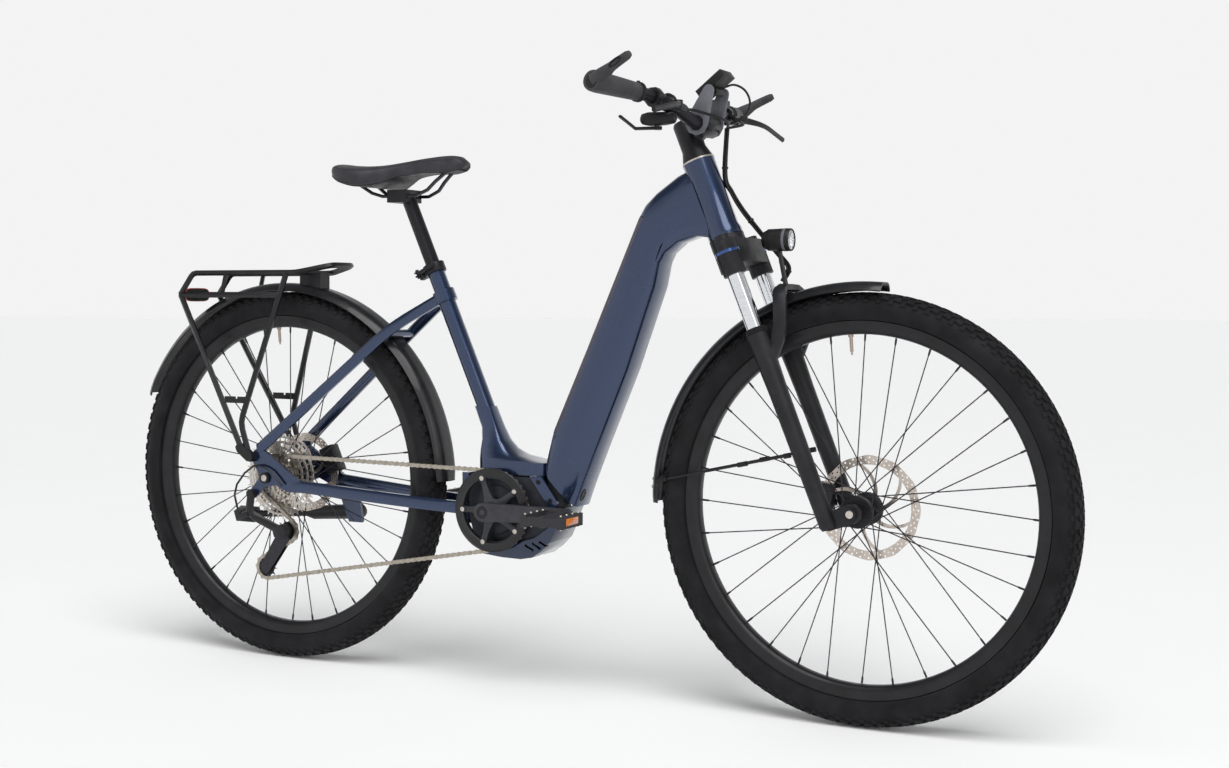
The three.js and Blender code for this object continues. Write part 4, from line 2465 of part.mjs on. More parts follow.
add("head_tube", headTube(), "frame");
add("down_tube", downTube(), "frame");
add("seat_tube", seatTube(), "frame");
add("chain_stays", chainStays(), "frame");
add("seat_stays", seatStays(), "frame");
add("motor", motor(), "black");
add("motor_cover", motorCover(), "frame");
add("seat_clamp", seatClamp(), "black");
add("rear_mudguard", rearMudguard(), "black");
add("rack", rack(), "black");
add("tail_light", tailLight(), "red");
add("rear_brake_caliper", rearCaliper(), "anodised");
add("rear_axle", axle(rearAxle, rearInner + dropoutThickness), "anodised");
add("derailleur_body", derailleurBody(), "anodised");
add("chain", chain(), "steel");

const battery = bodyAt("battery", batteryFoot);
add("battery_pack", batteryPack(), "black", battery);
add("battery_cover", batteryCover(), "cover", battery);

const clampPivot = onSeat(
  clampStart + clampHeight / 2,
  -clampRadius - clampEarLength / 2 + overrun / 2,
  -clampPinOffset,
);
add("seat_clamp_lever", clampLever(), "black", bodyAt("clamp_lever", clampPivot));

const seat = bodyAt("seat", onSeat(seatTubeLength));
add("seat_post", seatPost(), "black", seat);
add("saddle_rails", saddleRails(0), "anodised", seat);
add("saddle", saddle(), "leather", seat);

const rearWheel = bodyAt("rear_wheel", rearAxle);
add("rear_tyre", tyre(rearAxle), "rubber", rearWheel);
add("rear_rim", rim(rearAxle), "black", rearWheel);
const rearRotorSide = [rearInner, rearFlangeLeft, rearFlangeRight, rearRotorPlane, freehubRadius];
add("rear_hub", hub(rearAxle, ...rearRotorSide), "anodised", rearWheel);
add("rear_rotor", rotor(rearAxle, rearRotorRadius, rearRotorPlane), "steel", rearWheel);
add("cassette", cassette(), "steel", bodyAt("cassette", rearAxle));

const cranks = bodyAt("cranks", crankCentre);
add("chainring", chainRing(), "anodised", cranks);
add("right_crank", rightCrank(), "anodised", cranks);
add("left_crank", leftCrank(), "anodised", cranks);
for (const [name, side, turn] of [["right", -1, 0], ["left", 1, Math.PI]]) {
  const tip = round(crankCentre, crankLength, crankAngle + turn);
  add(`${name}_pedal`, pedal(side), "black", bodyAt(`${name}_pedal_body`, tip, cranks));
}

const cage = bodyAt("cage", upperJockey);
add("derailleur_cage", derailleurCage(), "anodised", cage);
add("upper_jockey_wheel", jockey(upperJockey), "black", bodyAt("upper_jockey", upperJockey, cage));
add("lower_jockey_wheel", jockey(lowerJockey), "black", bodyAt("lower_jockey", lowerJockey, cage));
add("side_stand", sideStand(), "black", bodyAt("stand", standPivot));

const steering = bodyAt("steering", onSteer(axleToHeadTube));
add("fork_crown", crown(), "black", steering);
add("right_stanchion", stanchion(-1), "chrome", steering);
add("left_stanchion", stanchion(1), "chrome", steering);
add("stem", stem(), "black", steering);
add("handlebar", handlebar(0), "black", steering);
add("right_grip", grip(-1), "rubber", steering);
add("left_grip", grip(1), "rubber", steering);
add("right_brake_body", brakeBody(-1), "anodised", steering);
add("left_brake_body", brakeBody(1), "anodised", steering);
add("shifter", shifter(), "black", steering);
add("display_bracket", displayBracket(), "anodised", steering);
add("control_cables", controlCables(), "rubber", steering);
add("shift_lever", shiftLever(), "black", bodyAt("shift_lever_body", shifterPlace, steering));
add("display", display(), "black", bodyAt("display_body", displayPivot, steering));
for (const [name, side] of [["right", -1], ["left", 1]]) {
  const lever = bodyAt(`${name}_lever_body`, leverHinge(side), steering);
  add(`${name}_brake_lever`, brakeLever(side), "anodised", lever);
}

const fork = bodyAt("fork", onSteer(lowersTop), steering);
add("fork_lowers", lowers(), "black", fork);
add("front_mudguard", frontMudguard(), "black", fork);
add("head_light", headLight(), "lamp", fork);
add("front_brake_caliper", frontCaliper(), "anodised", fork);
add("front_axle", axle(frontAxle, frontInner + forkDropoutThickness), "anodised", fork);

const frontWheel = bodyAt("front_wheel", frontAxle, fork);
add("front_tyre", tyre(frontAxle), "rubber", frontWheel);
add("front_rim", rim(frontAxle), "black", frontWheel);
const frontRotorSide = [frontInner, frontFlangeSpread, frontFlangeSpread, frontRotorPlane, hubEndRadius];
add("front_hub", hub(frontAxle, ...frontRotorSide), "anodised", frontWheel);
add("front_rotor", rotor(frontAxle, frontRotorRadius, frontRotorPlane), "steel", frontWheel);

// The origin is under the middle of the whole machine, on the ground.
bicycle.updateMatrixWorld(true);
const bounds = new THREE.Box3().setFromObject(bicycle, true);
const middle = bounds.getCenter(at(0, 0, 0));
bicycle.position.set(-middle.x, -middle.y, -bounds.min.z);

export default bicycle;
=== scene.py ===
import json
import math

import bmesh
import bpy
from mathutils import Matrix, Vector
from mathutils.bvhtree import BVHTree


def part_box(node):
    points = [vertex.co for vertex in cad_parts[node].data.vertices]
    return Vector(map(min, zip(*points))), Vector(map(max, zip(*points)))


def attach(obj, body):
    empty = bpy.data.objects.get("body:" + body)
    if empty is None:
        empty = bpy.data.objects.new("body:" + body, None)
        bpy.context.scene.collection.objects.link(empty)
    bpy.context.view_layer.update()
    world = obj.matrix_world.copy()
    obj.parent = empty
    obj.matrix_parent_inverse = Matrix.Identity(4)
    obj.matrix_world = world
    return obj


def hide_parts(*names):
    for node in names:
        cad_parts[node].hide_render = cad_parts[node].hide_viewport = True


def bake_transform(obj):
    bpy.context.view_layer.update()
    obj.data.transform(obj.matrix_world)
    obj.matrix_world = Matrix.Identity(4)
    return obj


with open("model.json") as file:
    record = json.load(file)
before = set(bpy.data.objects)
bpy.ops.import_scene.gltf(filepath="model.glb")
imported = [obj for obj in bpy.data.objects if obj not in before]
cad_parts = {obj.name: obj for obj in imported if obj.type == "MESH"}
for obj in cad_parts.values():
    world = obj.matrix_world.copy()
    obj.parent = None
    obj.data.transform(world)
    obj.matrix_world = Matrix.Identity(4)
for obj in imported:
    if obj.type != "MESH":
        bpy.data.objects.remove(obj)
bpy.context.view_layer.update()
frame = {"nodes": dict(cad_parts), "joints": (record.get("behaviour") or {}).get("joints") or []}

# Sizes are in metres where no comment says otherwise. Profiles for turned() and ring() are in millimetres
MM = 0.001
TAU = 2 * math.pi
AHEAD = Vector((1, 0, 0))
ACROSS = Vector((0, 1, 0))
UPRIGHT = Vector((0, 0, 1))
SIDES = ((-1, "right"), (1, "left"))
CORNERS = ((-1, -1), (1, -1), (1, 1), (-1, 1))


def joint(name, key="pos_m"):
    """A joint's place at rest, or its axis."""
    return Vector(next(row for row in frame["joints"] if row["name"] == name)[key])


REAR_AXLE = joint("rear_wheel_spin")
FRONT_AXLE = joint("front_wheel_spin")
CRANK = joint("crank_spin")
UPPER_JOCKEY = joint("upper_jockey_spin")
LOWER_JOCKEY = joint("lower_jockey_spin")

# The steering axis is measured from the level of the front axle, and this is its joint's place along it
STEER_JOINT = 0.521
STEER_UP = joint("steering_turn", "axis").normalized()
STEER_AHEAD = ACROSS.cross(STEER_UP)
STEER_FOOT = joint("steering_turn") - STEER_UP * STEER_JOINT
ARCH_TOP = 0.396
ARCH_FORWARD = 0.072
LEG_OFFSET = 0.016
LEG_SPREAD = 0.062


def on_steer(along, forward=0.0, side=0.0):
    """A point by its length along the steering axis and its offsets ahead and to the side."""
    return STEER_FOOT + STEER_UP * along + STEER_AHEAD * forward + ACROSS * side


def linked(name, data):
    """A new object in the scene."""
    made = bpy.data.objects.new(name, data)
    bpy.context.scene.collection.objects.link(made)
    return made


# Camera, placed from the photograph's perspective
PHOTO_WIDTH = 1229
PHOTO_HEIGHT = 768
CAMERA_PLACE = Vector((1.479, -2.646, 0.720))
CAMERA_AZIMUTH = math.radians(26.975)
CAMERA_ELEVATION = math.radians(2.959)
CAMERA_ROLL = math.radians(0.13)
CAMERA_REACH = 60
FOCAL_PIXELS = 1649.8
SENSOR_WIDTH = 36.0


def make_camera():
    a, e, r = CAMERA_AZIMUTH, CAMERA_ELEVATION, CAMERA_ROLL
    back = Vector((math.sin(a) * math.cos(e), -math.cos(a) * math.cos(e), math.sin(e)))
    right = Vector((math.cos(a), math.sin(a), 0))
    up = back.cross(right)
    turned_right = right * math.cos(r) + up * math.sin(r)
    turned_up = up * math.cos(r) - right * math.sin(r)
    camera = linked("camera", bpy.data.cameras.new("camera"))
    camera.data.sensor_width = SENSOR_WIDTH
    camera.data.lens = FOCAL_PIXELS * SENSOR_WIDTH / PHOTO_WIDTH
    camera.data.clip_end = CAMERA_REACH
    place = Matrix((turned_right, turned_up, back)).transposed().to_4x4()
    place.translation = CAMERA_PLACE
    camera.matrix_world = place
    bpy.context.scene.camera = camera


make_camera()


def photo_ray(u, v):
    """The direction of sight through a point of the photograph, in its own pixels."""
    place = bpy.context.scene.camera.matrix_world.to_3x3()
    return (place @ Vector((u - PHOTO_WIDTH / 2, PHOTO_HEIGHT / 2 - v, -FOCAL_PIXELS))).normalized()


def landed(name, start, way):
    """Where a line first meets a node of the frame, with the surface's outward direction there."""
    mesh = frame["nodes"][name].data
    tree = BVHTree.FromPolygons([v.co for v in mesh.vertices], [p.vertices for p in mesh.polygons])
    place, normal, _, _ = tree.ray_cast(start, way)
    return place, normal if normal.dot(way) < 0 else -normal


# Materials
def add_node(tree, kind, inputs=None, **settings):
    """A node with its settings and its inputs, each input a value or another node's output."""
    made = tree.nodes.new(kind)
    for key, value in settings.items():
        setattr(made, key, value)
    for key, value in (inputs or {}).items():
        if isinstance(value, bpy.types.NodeSocket):
            tree.links.new(value, made.inputs[key])
        else:
            made.inputs[key].default_value = value
    return made


def colour(hex_code):
    """A linear colour from a display colour such as "2b3a57"."""
    parts = [int(hex_code[i : i + 2], 16) / 255 for i in (0, 2, 4)]
    linear = [c / 12.92 if c <= 0.04045 else ((c + 0.055) / 1.055) ** 2.4 for c in parts]
    return (*linear, 1)


def set_ramp(ramp, places, colours):
    for stop, place, shade in zip(ramp.color_ramp.elements, places, colours):
        stop.position = place
        stop.color = shade


class Finish:
    """A node material: a Principled shader whose colour, roughness and relief come from textures."""

    COAT_ROUGHNESS = 0.06

    def __init__(self, name, metallic=0.0, coat=0.0, sheen=0.0, transmission=0.0, specular=0.5):
        self.material = bpy.data.materials.new(name)
        self.material.use_nodes = True
        self.tree = self.material.node_tree
        self.shader = self.tree.nodes["Principled BSDF"]
        constants = {
            "Metallic": metallic,
            "Coat Weight": coat,
            "Coat Roughness": self.COAT_ROUGHNESS,
            "Sheen Weight": sheen,
            "Transmission Weight": transmission,
            "Specular IOR Level": specular,
        }
        for key, value in constants.items():
            self.shader.inputs[key].default_value = value
        self.place = self.node("ShaderNodeTexCoord").outputs["Object"]
        self.relief = None

    def node(self, kind, inputs=None, **settings):
        return add_node(self.tree, kind, inputs, **settings)

    def stretched(self, stretch):
        if stretch is None:
            return self.place
        return self.node("ShaderNodeMapping", {"Scale": stretch, "Vector": self.place}).outputs["Vector"]

    def noise(self, scale, detail=3.0, stretch=None):
        inputs = {"Scale": scale, "Detail": detail, "Vector": self.stretched(stretch)}
        return self.node("ShaderNodeTexNoise", inputs).outputs["Fac"]

    def cells(self, scale, feature="F1"):
        inputs = {"Scale": scale, "Vector": self.place}
        return self.node("ShaderNodeTexVoronoi", inputs, feature=feature).outputs["Distance"]

    def waves(self, stretch, direction):
        inputs = {"Scale": 1, "Vector": self.stretched(stretch)}
        return self.node("ShaderNodeTexWave", inputs, bands_direction=direction).outputs["Fac"]

    def tint(self, factor, dark, light, start=0.3, end=0.7):
        """The base colour goes from dark to light with the factor."""
        ramp = self.node("ShaderNodeValToRGB", {"Fac": factor})
        set_ramp(ramp, (start, end), (colour(dark), colour(light)))
        self.tree.links.new(ramp.outputs["Color"], self.shader.inputs["Base Color"])

    def rough(self, factor, low, high):
        """The roughness goes from low to high with the factor."""
        inputs = {"Value": factor, "From Min": 0.3, "From Max": 0.7, "To Min": low, "To Max": high}
        spread = self.node("ShaderNodeMapRange", inputs)
        self.tree.links.new(spread.outputs["Result"], self.shader.inputs["Roughness"])

    def bump(self, height, depth, strength=1.0):
        """Relief of a real depth in metres. Calls add up."""
        inputs = {"Strength": strength, "Distance": depth, "Height": height}
        if self.relief is not None:
            inputs["Normal"] = self.relief
        self.relief = self.node("ShaderNodeBump", inputs).outputs["Normal"]
        self.tree.links.new(self.relief, self.shader.inputs["Normal"])
        return self


def painted(name, dark, light, flake=2600.0):
    """Metallic lacquer: fine flakes under a clear coat, with a faint orange-peel surface."""
    finish = Finish(name, metallic=0.78, coat=0.9)
    finish.tint(finish.noise(flake, 2.0), dark, light, 0.35, 0.75)
    finish.rough(finish.noise(14, 4.0), 0.2, 0.3)
    finish.bump(finish.cells(flake), 0.00002, 0.25)
    return finish.bump(finish.noise(240, 2.0), 0.00004, 0.3).material


def moulded(name, dark, light, low=0.42, high=0.6, grain=1500.0, depth=0.00005, coat=0.0):
    """Moulded plastic or powder coat with a fine grain and slight wear."""
    finish = Finish(name, coat=coat, specular=0.3)
    finish.tint(finish.noise(35, 5.0), dark, light)
    finish.rough(finish.noise(60, 4.0), low, high)
    finish.bump(finish.noise(grain, 3.0), depth, 0.5)
    return finish.bump(finish.cells(grain / 2), depth, 0.2).material


def brushed(name, dark, light, low=0.22, high=0.4, stretch=(90, 1500, 1500), metallic=0.95):
    """Turned or brushed metal: long fine lines and a few dull patches."""
    finish = Finish(name, metallic=metallic)
    finish.tint(finish.noise(1, 6.0, stretch), dark, light)
    finish.rough(finish.noise(45, 4.0), low, high)
    return finish.bump(finish.noise(1, 4.0, stretch), 0.00002, 0.4).material


def rubber(name, dark, light):
    """Matt rubber with dust in its pores and fine mould lines."""
    finish = Finish(name, sheen=0.04, specular=0.2)
    finish.tint(finish.noise(22, 6.0), dark, light)
    finish.rough(finish.noise(30, 4.0), 0.66, 0.88)
    return finish.bump(finish.noise(900, 4.0), 0.00012, 0.5).bump(finish.cells(420), 0.00008, 0.25).material


def hide(name, dark, light):
    """Grained synthetic leather: small cells with soft patches of wear at random."""
    finish = Finish(name, sheen=0.06, specular=0.3)
    finish.tint(finish.noise(28, 6.0), dark, light)
    finish.rough(finish.noise(50, 4.0), 0.46, 0.62)
    grain = finish.cells(620, "DISTANCE_TO_EDGE")
    return finish.bump(grain, 0.00022, 0.5).bump(finish.noise(1400, 3.0), 0.00006, 0.4).material


def woven(name, dark, light):
    """The battery cover's soft strip with its slanting fine pattern."""
    finish = Finish(name)
    slant = finish.waves((230, 0, 380), "DIAGONAL")
    finish.tint(slant, dark, light, 0.1, 0.9)
    finish.rough(finish.noise(70, 4.0), 0.55, 0.75)
    return finish.bump(slant, 0.00018, 0.5).bump(finish.noise(1200, 3.0), 0.00006, 0.4).material


def gripped(name, dark, light):
    """Rubber of the grips with a fine diamond pattern."""
    finish = Finish(name, sheen=0.1)
    finish.tint(finish.noise(40, 5.0), dark, light)
    finish.rough(finish.noise(60, 4.0), 0.6, 0.8)
    lines = finish.waves((330, 330, 0), "DIAGONAL")
    return finish.bump(lines, 0.0003, 0.5).bump(finish.noise(1300, 3.0), 0.00008, 0.4).material


def glassy(name, dark, light, transmission, low=0.03, high=0.08):
    """Clear or coloured lens with faint moulded lines inside."""
    finish = Finish(name, coat=0.6, transmission=transmission)
    finish.tint(finish.noise(60, 3.0), dark, light)
    finish.rough(finish.noise(80, 3.0), low, high)
    return finish.bump(finish.waves((0, 900, 900), "Y"), 0.00006, 0.3).material


PAINT = painted("paint_slate_blue", "1d2a46", "33476b")
# The frame's lacquer again, darker for the motor cover: the cover has the frame's paint, and its darker tone
# is painted shade
PAINT_SHADED = painted("paint_slate_blue_shaded", "172238", "283854")
BLACK_COAT = moulded("black_coat", "101012", "1b1b1f", 0.34, 0.5, coat=0.1)
FORK_BLACK = moulded("fork_black", "141417", "202024", 0.42, 0.55)
BLACK_PLASTIC = moulded("black_moulding", "0f0f11", "1a1a1d", 0.4, 0.58)
GUARD_BLACK = moulded("mudguard_black", "111113", "1e1e21", 0.3, 0.42, 900.0, 0.00003, 0.25)
MOTOR_GREY = moulded("motor_shell_grey", "15171d", "24272f", 0.4, 0.55)
ANODISED = brushed("black_anodised", "141417", "232327", 0.36, 0.5, metallic=0.5)
CRANK_GREY = moulded("crank_grey", "26262a", "3a3a3f", 0.36, 0.5, coat=0.15)
BRACKET_GREY = moulded("bracket_grey", "55565c", "6b6c73", 0.42, 0.56)
STEEL = brushed("bright_steel", "b9b1a8", "dcd6cf", 0.24, 0.42)
CHAIN_STEEL = brushed("chain_steel", "8f877c", "c4bcb0", 0.26, 0.46, (700, 700, 700))
DARK_STEEL = brushed("dark_steel", "303034", "4a4a4f", 0.3, 0.46)
ROTOR_STEEL = brushed("rotor_steel", "b3a89e", "e0d6cc", 0.24, 0.38, (900, 60, 900))
CHROME = brushed("chrome_tube", "cfd2d6", "f4f5f7", 0.06, 0.14, (40, 40, 1500), 1.0)
BRASS = brushed("valve_brass", "9c8b80", "c4b4a8", 0.3, 0.42)
TYRE = rubber("tyre_rubber", "0d0d0f", "1c1c1f")
GRIP = gripped("grip_rubber", "242427", "38383b")
SKIN = hide("saddle_skin", "232327", "38383d")
COVER = woven("bay_cover", "3b3641", "5a5360")
RED_LENS = glassy("red_lens", "a0070c", "d8161d", 0.1, 0.08, 0.16)
CLEAR_LENS = glassy("clear_lens", "e9edf2", "ffffff", 0.96)
SILVER_BOWL = brushed("silver_bowl", "d8dade", "ffffff", 0.08, 0.16, (200, 200, 200), 1.0)
AMBER = glassy("amber_reflector", "c65c00", "f08a10", 0.15, 0.12, 0.22)
SCREEN = glassy("screen_glass", "0b0c0f", "17181d", 0.0, 0.04, 0.1)
CABLE_SKIN = moulded("cable_sleeve", "0c0c0e", "18181a", 0.36, 0.5)

# The frame's own nodes by their finish, and those with rounded edges by the radius in millimetres
NODE_FINISHES = (
    (PAINT, "chain_stays down_tube head_tube seat_stays seat_tube"),
    # The motor cover gets the darker copy of the frame paint, as painted shade
    (PAINT_SHADED, "motor_cover"),
    (MOTOR_GREY, "motor"),
    (BLACK_COAT, "derailleur_body rack side_stand front_brake_caliper rear_brake_caliper"),
    (BLACK_COAT, "left_brake_body right_brake_body"),
    (FORK_BLACK, "fork_crown fork_lowers"),
    (BLACK_PLASTIC, "battery_pack display shift_lever lower_jockey_wheel upper_jockey_wheel"),
    (ANODISED, "front_axle rear_axle handlebar stem left_brake_lever right_brake_lever"),
    (ANODISED, "seat_clamp seat_clamp_lever seat_post"),
    (CRANK_GREY, "left_crank right_crank"),
    (BRACKET_GREY, "display_bracket"),
    (DARK_STEEL, "derailleur_cage saddle_rails"),
    (CHROME, "left_stanchion right_stanchion"),
    (COVER, "battery_cover"),
)
EDGE_RADII = (
    (2.6, "right_crank left_crank"),
    (2.0, "front_brake_caliper rear_brake_caliper"),
    (1.6, "display"),
    (1.5, "fork_crown motor_cover"),
    (1.4, "derailleur_body"),
    (1.2, "stem side_stand motor"),
    (1.0, "battery_cover"),
    (0.8, "seat_clamp display_bracket right_brake_body left_brake_body"),
    (0.6, "rack"),
)
WELD_DISTANCE = 0.01 * MM
CRISP_ANGLE = math.radians(46)


# Rounded edges and smooth shading for the frame's own nodes, as modifiers
def shading_group():
    """Geometry nodes: drops the stored normals, shades smooth and keeps edges over a given angle."""
    group = bpy.data.node_groups.new("soft_shading", "GeometryNodeTree")
    group.interface.new_socket("Geometry", in_out="INPUT", socket_type="NodeSocketGeometry")
    limit = group.interface.new_socket("Angle", in_out="INPUT", socket_type="NodeSocketFloat")
    limit.default_value = math.radians(40)
    group.interface.new_socket("Geometry", in_out="OUTPUT", socket_type="NodeSocketGeometry")

    def after(source, kind, inputs=None, **settings):
        inputs = {"Geometry": source.outputs["Geometry"], **(inputs or {})}
        return add_node(group, kind, inputs, **settings)

    start = add_node(group, "NodeGroupInput")
    bare = after(start, "GeometryNodeRemoveAttribute", {"Name": "custom_normal"})
    weld = after(bare, "GeometryNodeMergeByDistance", {"Distance": WELD_DISTANCE})
    smooth = after(weld, "GeometryNodeSetShadeSmooth")
    angle = add_node(group, "GeometryNodeInputMeshEdgeAngle")
    angles = {0: angle.outputs["Unsigned Angle"], 1: start.outputs["Angle"]}
    over = add_node(group, "FunctionNodeCompare", angles, operation="GREATER_THAN")
    edges = {"Selection": over.outputs["Result"], "Shade Smooth": False}
    crisp = after(smooth, "GeometryNodeSetShadeSmooth", edges, domain="EDGE")
    after(crisp, "NodeGroupOutput")
    return group, limit.identifier


def dress_nodes():
    shading, angle_socket = shading_group()
    radii = {name: radius * MM for radius, names in EDGE_RADII for name in names.split()}
    finishes = {name: finish for finish, names in NODE_FINISHES for name in names.split()}
    for name, finish in finishes.items():
        node = frame["nodes"][name]
        for holder in node.material_slots:
            holder.material = finish
        if name in radii:
            weld = node.modifiers.new("weld", "WELD")
            weld.merge_threshold = WELD_DISTANCE
            bevel = node.modifiers.new("edges", "BEVEL")
            bevel.width = radii[name]
            bevel.segments = 2
            bevel.limit_method = "ANGLE"
            bevel.angle_limit = CRISP_ANGLE
        shade = node.modifiers.new("shading", "NODES")
        shade.node_group = shading
        shade[angle_socket] = CRISP_ANGLE


dress_nodes()


# Forms: points and faces gathered into one piece
def quads(rows, count, looped, closed):
    """Faces between neighbouring rows of points."""
    faces = []
    for i in range(rows if looped else rows - 1):
        here, there = i * count, (i + 1) % rows * count
        for k in range(count if closed else count - 1):
            n = (k + 1) % count
            faces.append([here + k, here + n, there + n, there + k])
    return faces


class Form:
    def __init__(self):
        self.points = []
        self.faces = []

    def add(self, points, faces):
        first = len(self.points)
        self.points += [Vector(p) for p in points]
        self.faces += [[first + i for i in face] for face in faces]
        return self

    def loft(self, rings):
        """Skins equal rings of points and caps both ends."""
        count = len(rings[0])
        last = (len(rings) - 1) * count
        caps = [list(range(count))[::-1], [last + k for k in range(count)]]
        return self.add([p for ring in rings for p in ring], quads(len(rings), count, False, True) + caps)

    def lathe(self, profile, centre, axis, sides=48):
        """Turns a profile of (radius, along) about an axis. A closed profile repeats its first point."""
        axis = axis.normalized()
        u = axis.orthogonal().normalized()
        v = axis.cross(u)
        closed = profile[0] == profile[-1]
        used = profile[:-1] if closed else profile
        points = []
        for i in range(sides):
            angle = TAU * i / sides
            out = u * math.cos(angle) + v * math.sin(angle)
            points += [centre + out * radius + axis * along for radius, along in used]
        return self.add(points, quads(sides, len(used), True, closed))

    def turned(self, profile, centre, axis, sides=48):
        """A lathe form with its profile in millimetres."""
        return self.lathe([(radius * MM, along * MM) for radius, along in profile], centre, axis, sides)

    def ring(self, profile, centre, axis, sides=48):
        """A turned form whose profile closes on itself."""
        return self.turned([*profile, profile[0]], centre, axis, sides)

    def tube(self, path, radius, sides=10, flat=1.0, flat_way=None):
        """A round or flattened bar along a path. radius is one value or one for each point."""
        path = [Vector(p) for p in path]
        radii = radius if isinstance(radius, (list, tuple)) else [radius] * len(path)
        rings = []
        side = None
        for i, point in enumerate(path):
            course = course_at(path, i)
            if flat_way is not None:
                side = flat_way
            elif side is None:
                side = course.orthogonal()
            side = (side - course * side.dot(course)).normalized()
            other = course.cross(side)
            ring = []
            for k in range(sides):
                angle = TAU * k / sides
                wide, high = math.cos(angle) * radii[i] * flat, math.sin(angle) * radii[i]
                ring.append(point + side * wide + other * high)
            rings.append(ring)
        return self.loft(rings)

    def block(self, centre, x, y, sizes, inset):
        """A box with chamfered rims: x and y are its own directions, and inset its chamfer."""
        x = x.normalized()
        y = (y - x * y.dot(x)).normalized()
        z = x.cross(y)
        a, b, c = (size / 2 for size in sizes)

        def level(height, shrink):
            made = []
            for i, j in CORNERS:
                ends = [(a - shrink - inset, b - shrink), (a - shrink, b - shrink - inset)]
                for p, q in ends if i * j < 0 else reversed(ends):
                    made.append(centre + x * i * p + y * j * q + z * height)
            return made

        return self.loft([level(-c, inset), level(-c + inset, 0), level(c - inset, 0), level(c, inset)])

    def plate(self, loops, origin, depth):
        """An upright plate cut to nested outlines, centred on origin's plane."""
        curve = bpy.data.curves.new("outline", "CURVE")
        curve.dimensions = "2D"
        curve.fill_mode = "BOTH"
        curve.extrude = depth / 2
        for loop in loops:
            spline = curve.splines.new("POLY")
            spline.points.add(len(loop) - 1)
            for place, (x, y) in zip(spline.points, loop):
                place.co = (x, y, 0, 1)
            spline.use_cyclic_u = True
        holder = bpy.data.objects.new("outline", curve)
        mesh = bpy.data.meshes.new_from_object(holder)
        points = [origin + AHEAD * p.co.x + UPRIGHT * p.co.y - ACROSS * p.co.z for p in mesh.vertices]
        self.add(points, [list(face.vertices) for face in mesh.polygons])
        bpy.data.objects.remove(holder)
        bpy.data.curves.remove(curve)
        bpy.data.meshes.remove(mesh)
        return self

    def bolt(self, centre, axis, radius, height):
        """A socket-head bolt with its recess."""
        rim, floor = radius * 0.55, height * 0.45
        profile = [(0, 0), (radius, 0), (radius, height * 0.75), (radius * 0.85, height)]
        return self.lathe([*profile, (rim, height), (rim, floor), (0, floor)], centre, axis, 12)

    def piece(self, name, material, body, replaces=(), angle=38, slot=None, bend=None):
        """Makes the object. If bend is given, its place is baked into its mesh and it is attached to no body.
        """
        mesh = bpy.data.meshes.new(name)
        mesh.from_pydata(self.points, [], self.faces)
        work = bmesh.new()
        work.from_mesh(mesh)
        bmesh.ops.remove_doubles(work, verts=work.verts, dist=0.000002)
        bmesh.ops.dissolve_degenerate(work, edges=work.edges, dist=0.000001)
        bmesh.ops.recalc_face_normals(work, faces=work.faces)
        work.to_mesh(mesh)
        work.free()
        mesh.materials.append(material)
        mesh.shade_smooth()
        mesh.set_sharp_from_angle(angle=math.radians(angle))
        made = linked(name, mesh)
        if bend:
            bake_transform(made)
        else:
            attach(made, body)
        if replaces:
            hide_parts(*replaces)
        return made


def course_at(path, i):
    """The direction of a path at one of its points."""
    return (path[min(i + 1, len(path) - 1)] - path[max(i - 1, 0)]).normalized()


def heading(angle):
    """The direction at an angle up from straight ahead."""
    return Vector((math.cos(angle), 0, math.sin(angle)))


def polar(centre, radius, angle, side=0.0):
    """A point round a wheel's axle, by its angle from straight ahead."""
    return centre + Vector((radius * math.cos(angle), side, radius * math.sin(angle)))


def flat_point(radius, angle):
    return radius * math.cos(angle), radius * math.sin(angle)


def circle(radius, count, x=0.0, y=0.0):
    points = (flat_point(radius, TAU * i / count) for i in range(count))
    return [(x + a, y + b) for a, b in points]


def squared(value, power):
    """A sine or cosine bent so that an oval fills its corners."""
    return math.copysign(abs(value) ** power, value)


def squared_ring(x, y, z, half_y, half_z, power, count=24):
    """An oval with full corners, square to the bicycle's length."""
    angles = [TAU * k / count for k in range(count)]
    widths = [squared(math.cos(angle), power) * half_y for angle in angles]
    heights = [squared(math.sin(angle), 0.6) * half_z for angle in angles]
    return [Vector((x, y + wide, z + high)) for wide, high in zip(widths, heights)]


def smoothed(a, b, c, d, t):
    """A point or value between b and c on a smooth course that a and d lead into."""
    return 0.5 * (2 * b + (c - a) * t + (2 * a - 5 * b + 4 * c - d) * t**2 + (3 * b - a - 3 * c + d) * t**3)


def smooth_path(points, steps=8):
    """A smooth course through the points."""
    points = [Vector(p) for p in points]
    extended = [points[0] * 2 - points[1], *points, points[-1] * 2 - points[-2]]
    course = []
    for i in range(len(points) - 1):
        course += [smoothed(*extended[i : i + 4], k / steps) for k in range(steps)]
    return [*course, points[-1]]


# Wheels
TYRE_RADIUS = REAR_AXLE.z - 0.4 * MM
TREAD_HEIGHT = 2.6 * MM
TREAD_SINK = 1.5 * MM
TREAD_COUNT = 104
TYRE_HALF = 29.6 * MM
CASING_RISE = 26.0 * MM
CASING_SWEEP = math.radians(128)
CASING_STEPS = 14
MOULD_LINES = (3, 5, 23, 25)
MOULD_LINE_HEIGHT = 0.35 * MM
BEAD_RADIUS = 311.4 * MM
BEAD_HALF = 13.2 * MM
RIM_OUTER = 319.2 * MM
RIM_INNER = 295.4 * MM
RIM_HALF = 16.5 * MM
WHEEL_FACETS = 144
SPOKE_COUNT = 32
SPOKE_RADIUS = 1.05 * MM
SPOKE_LEAN = 1.7 * MM
SPOKE_CROSSING = 0.82
FLANGE_HOLES = 24.6 * MM
FLANGE = 3.4 * MM
NIPPLE_LENGTH = 12 * MM
NIPPLE_OFFSET = 4.8 * MM
ROTOR_THICKNESS = 1.8 * MM
ROTOR_BAND = 16 * MM
ROTOR_CARRIER = 22 * MM
ROTOR_WAVE = 0.9 * MM
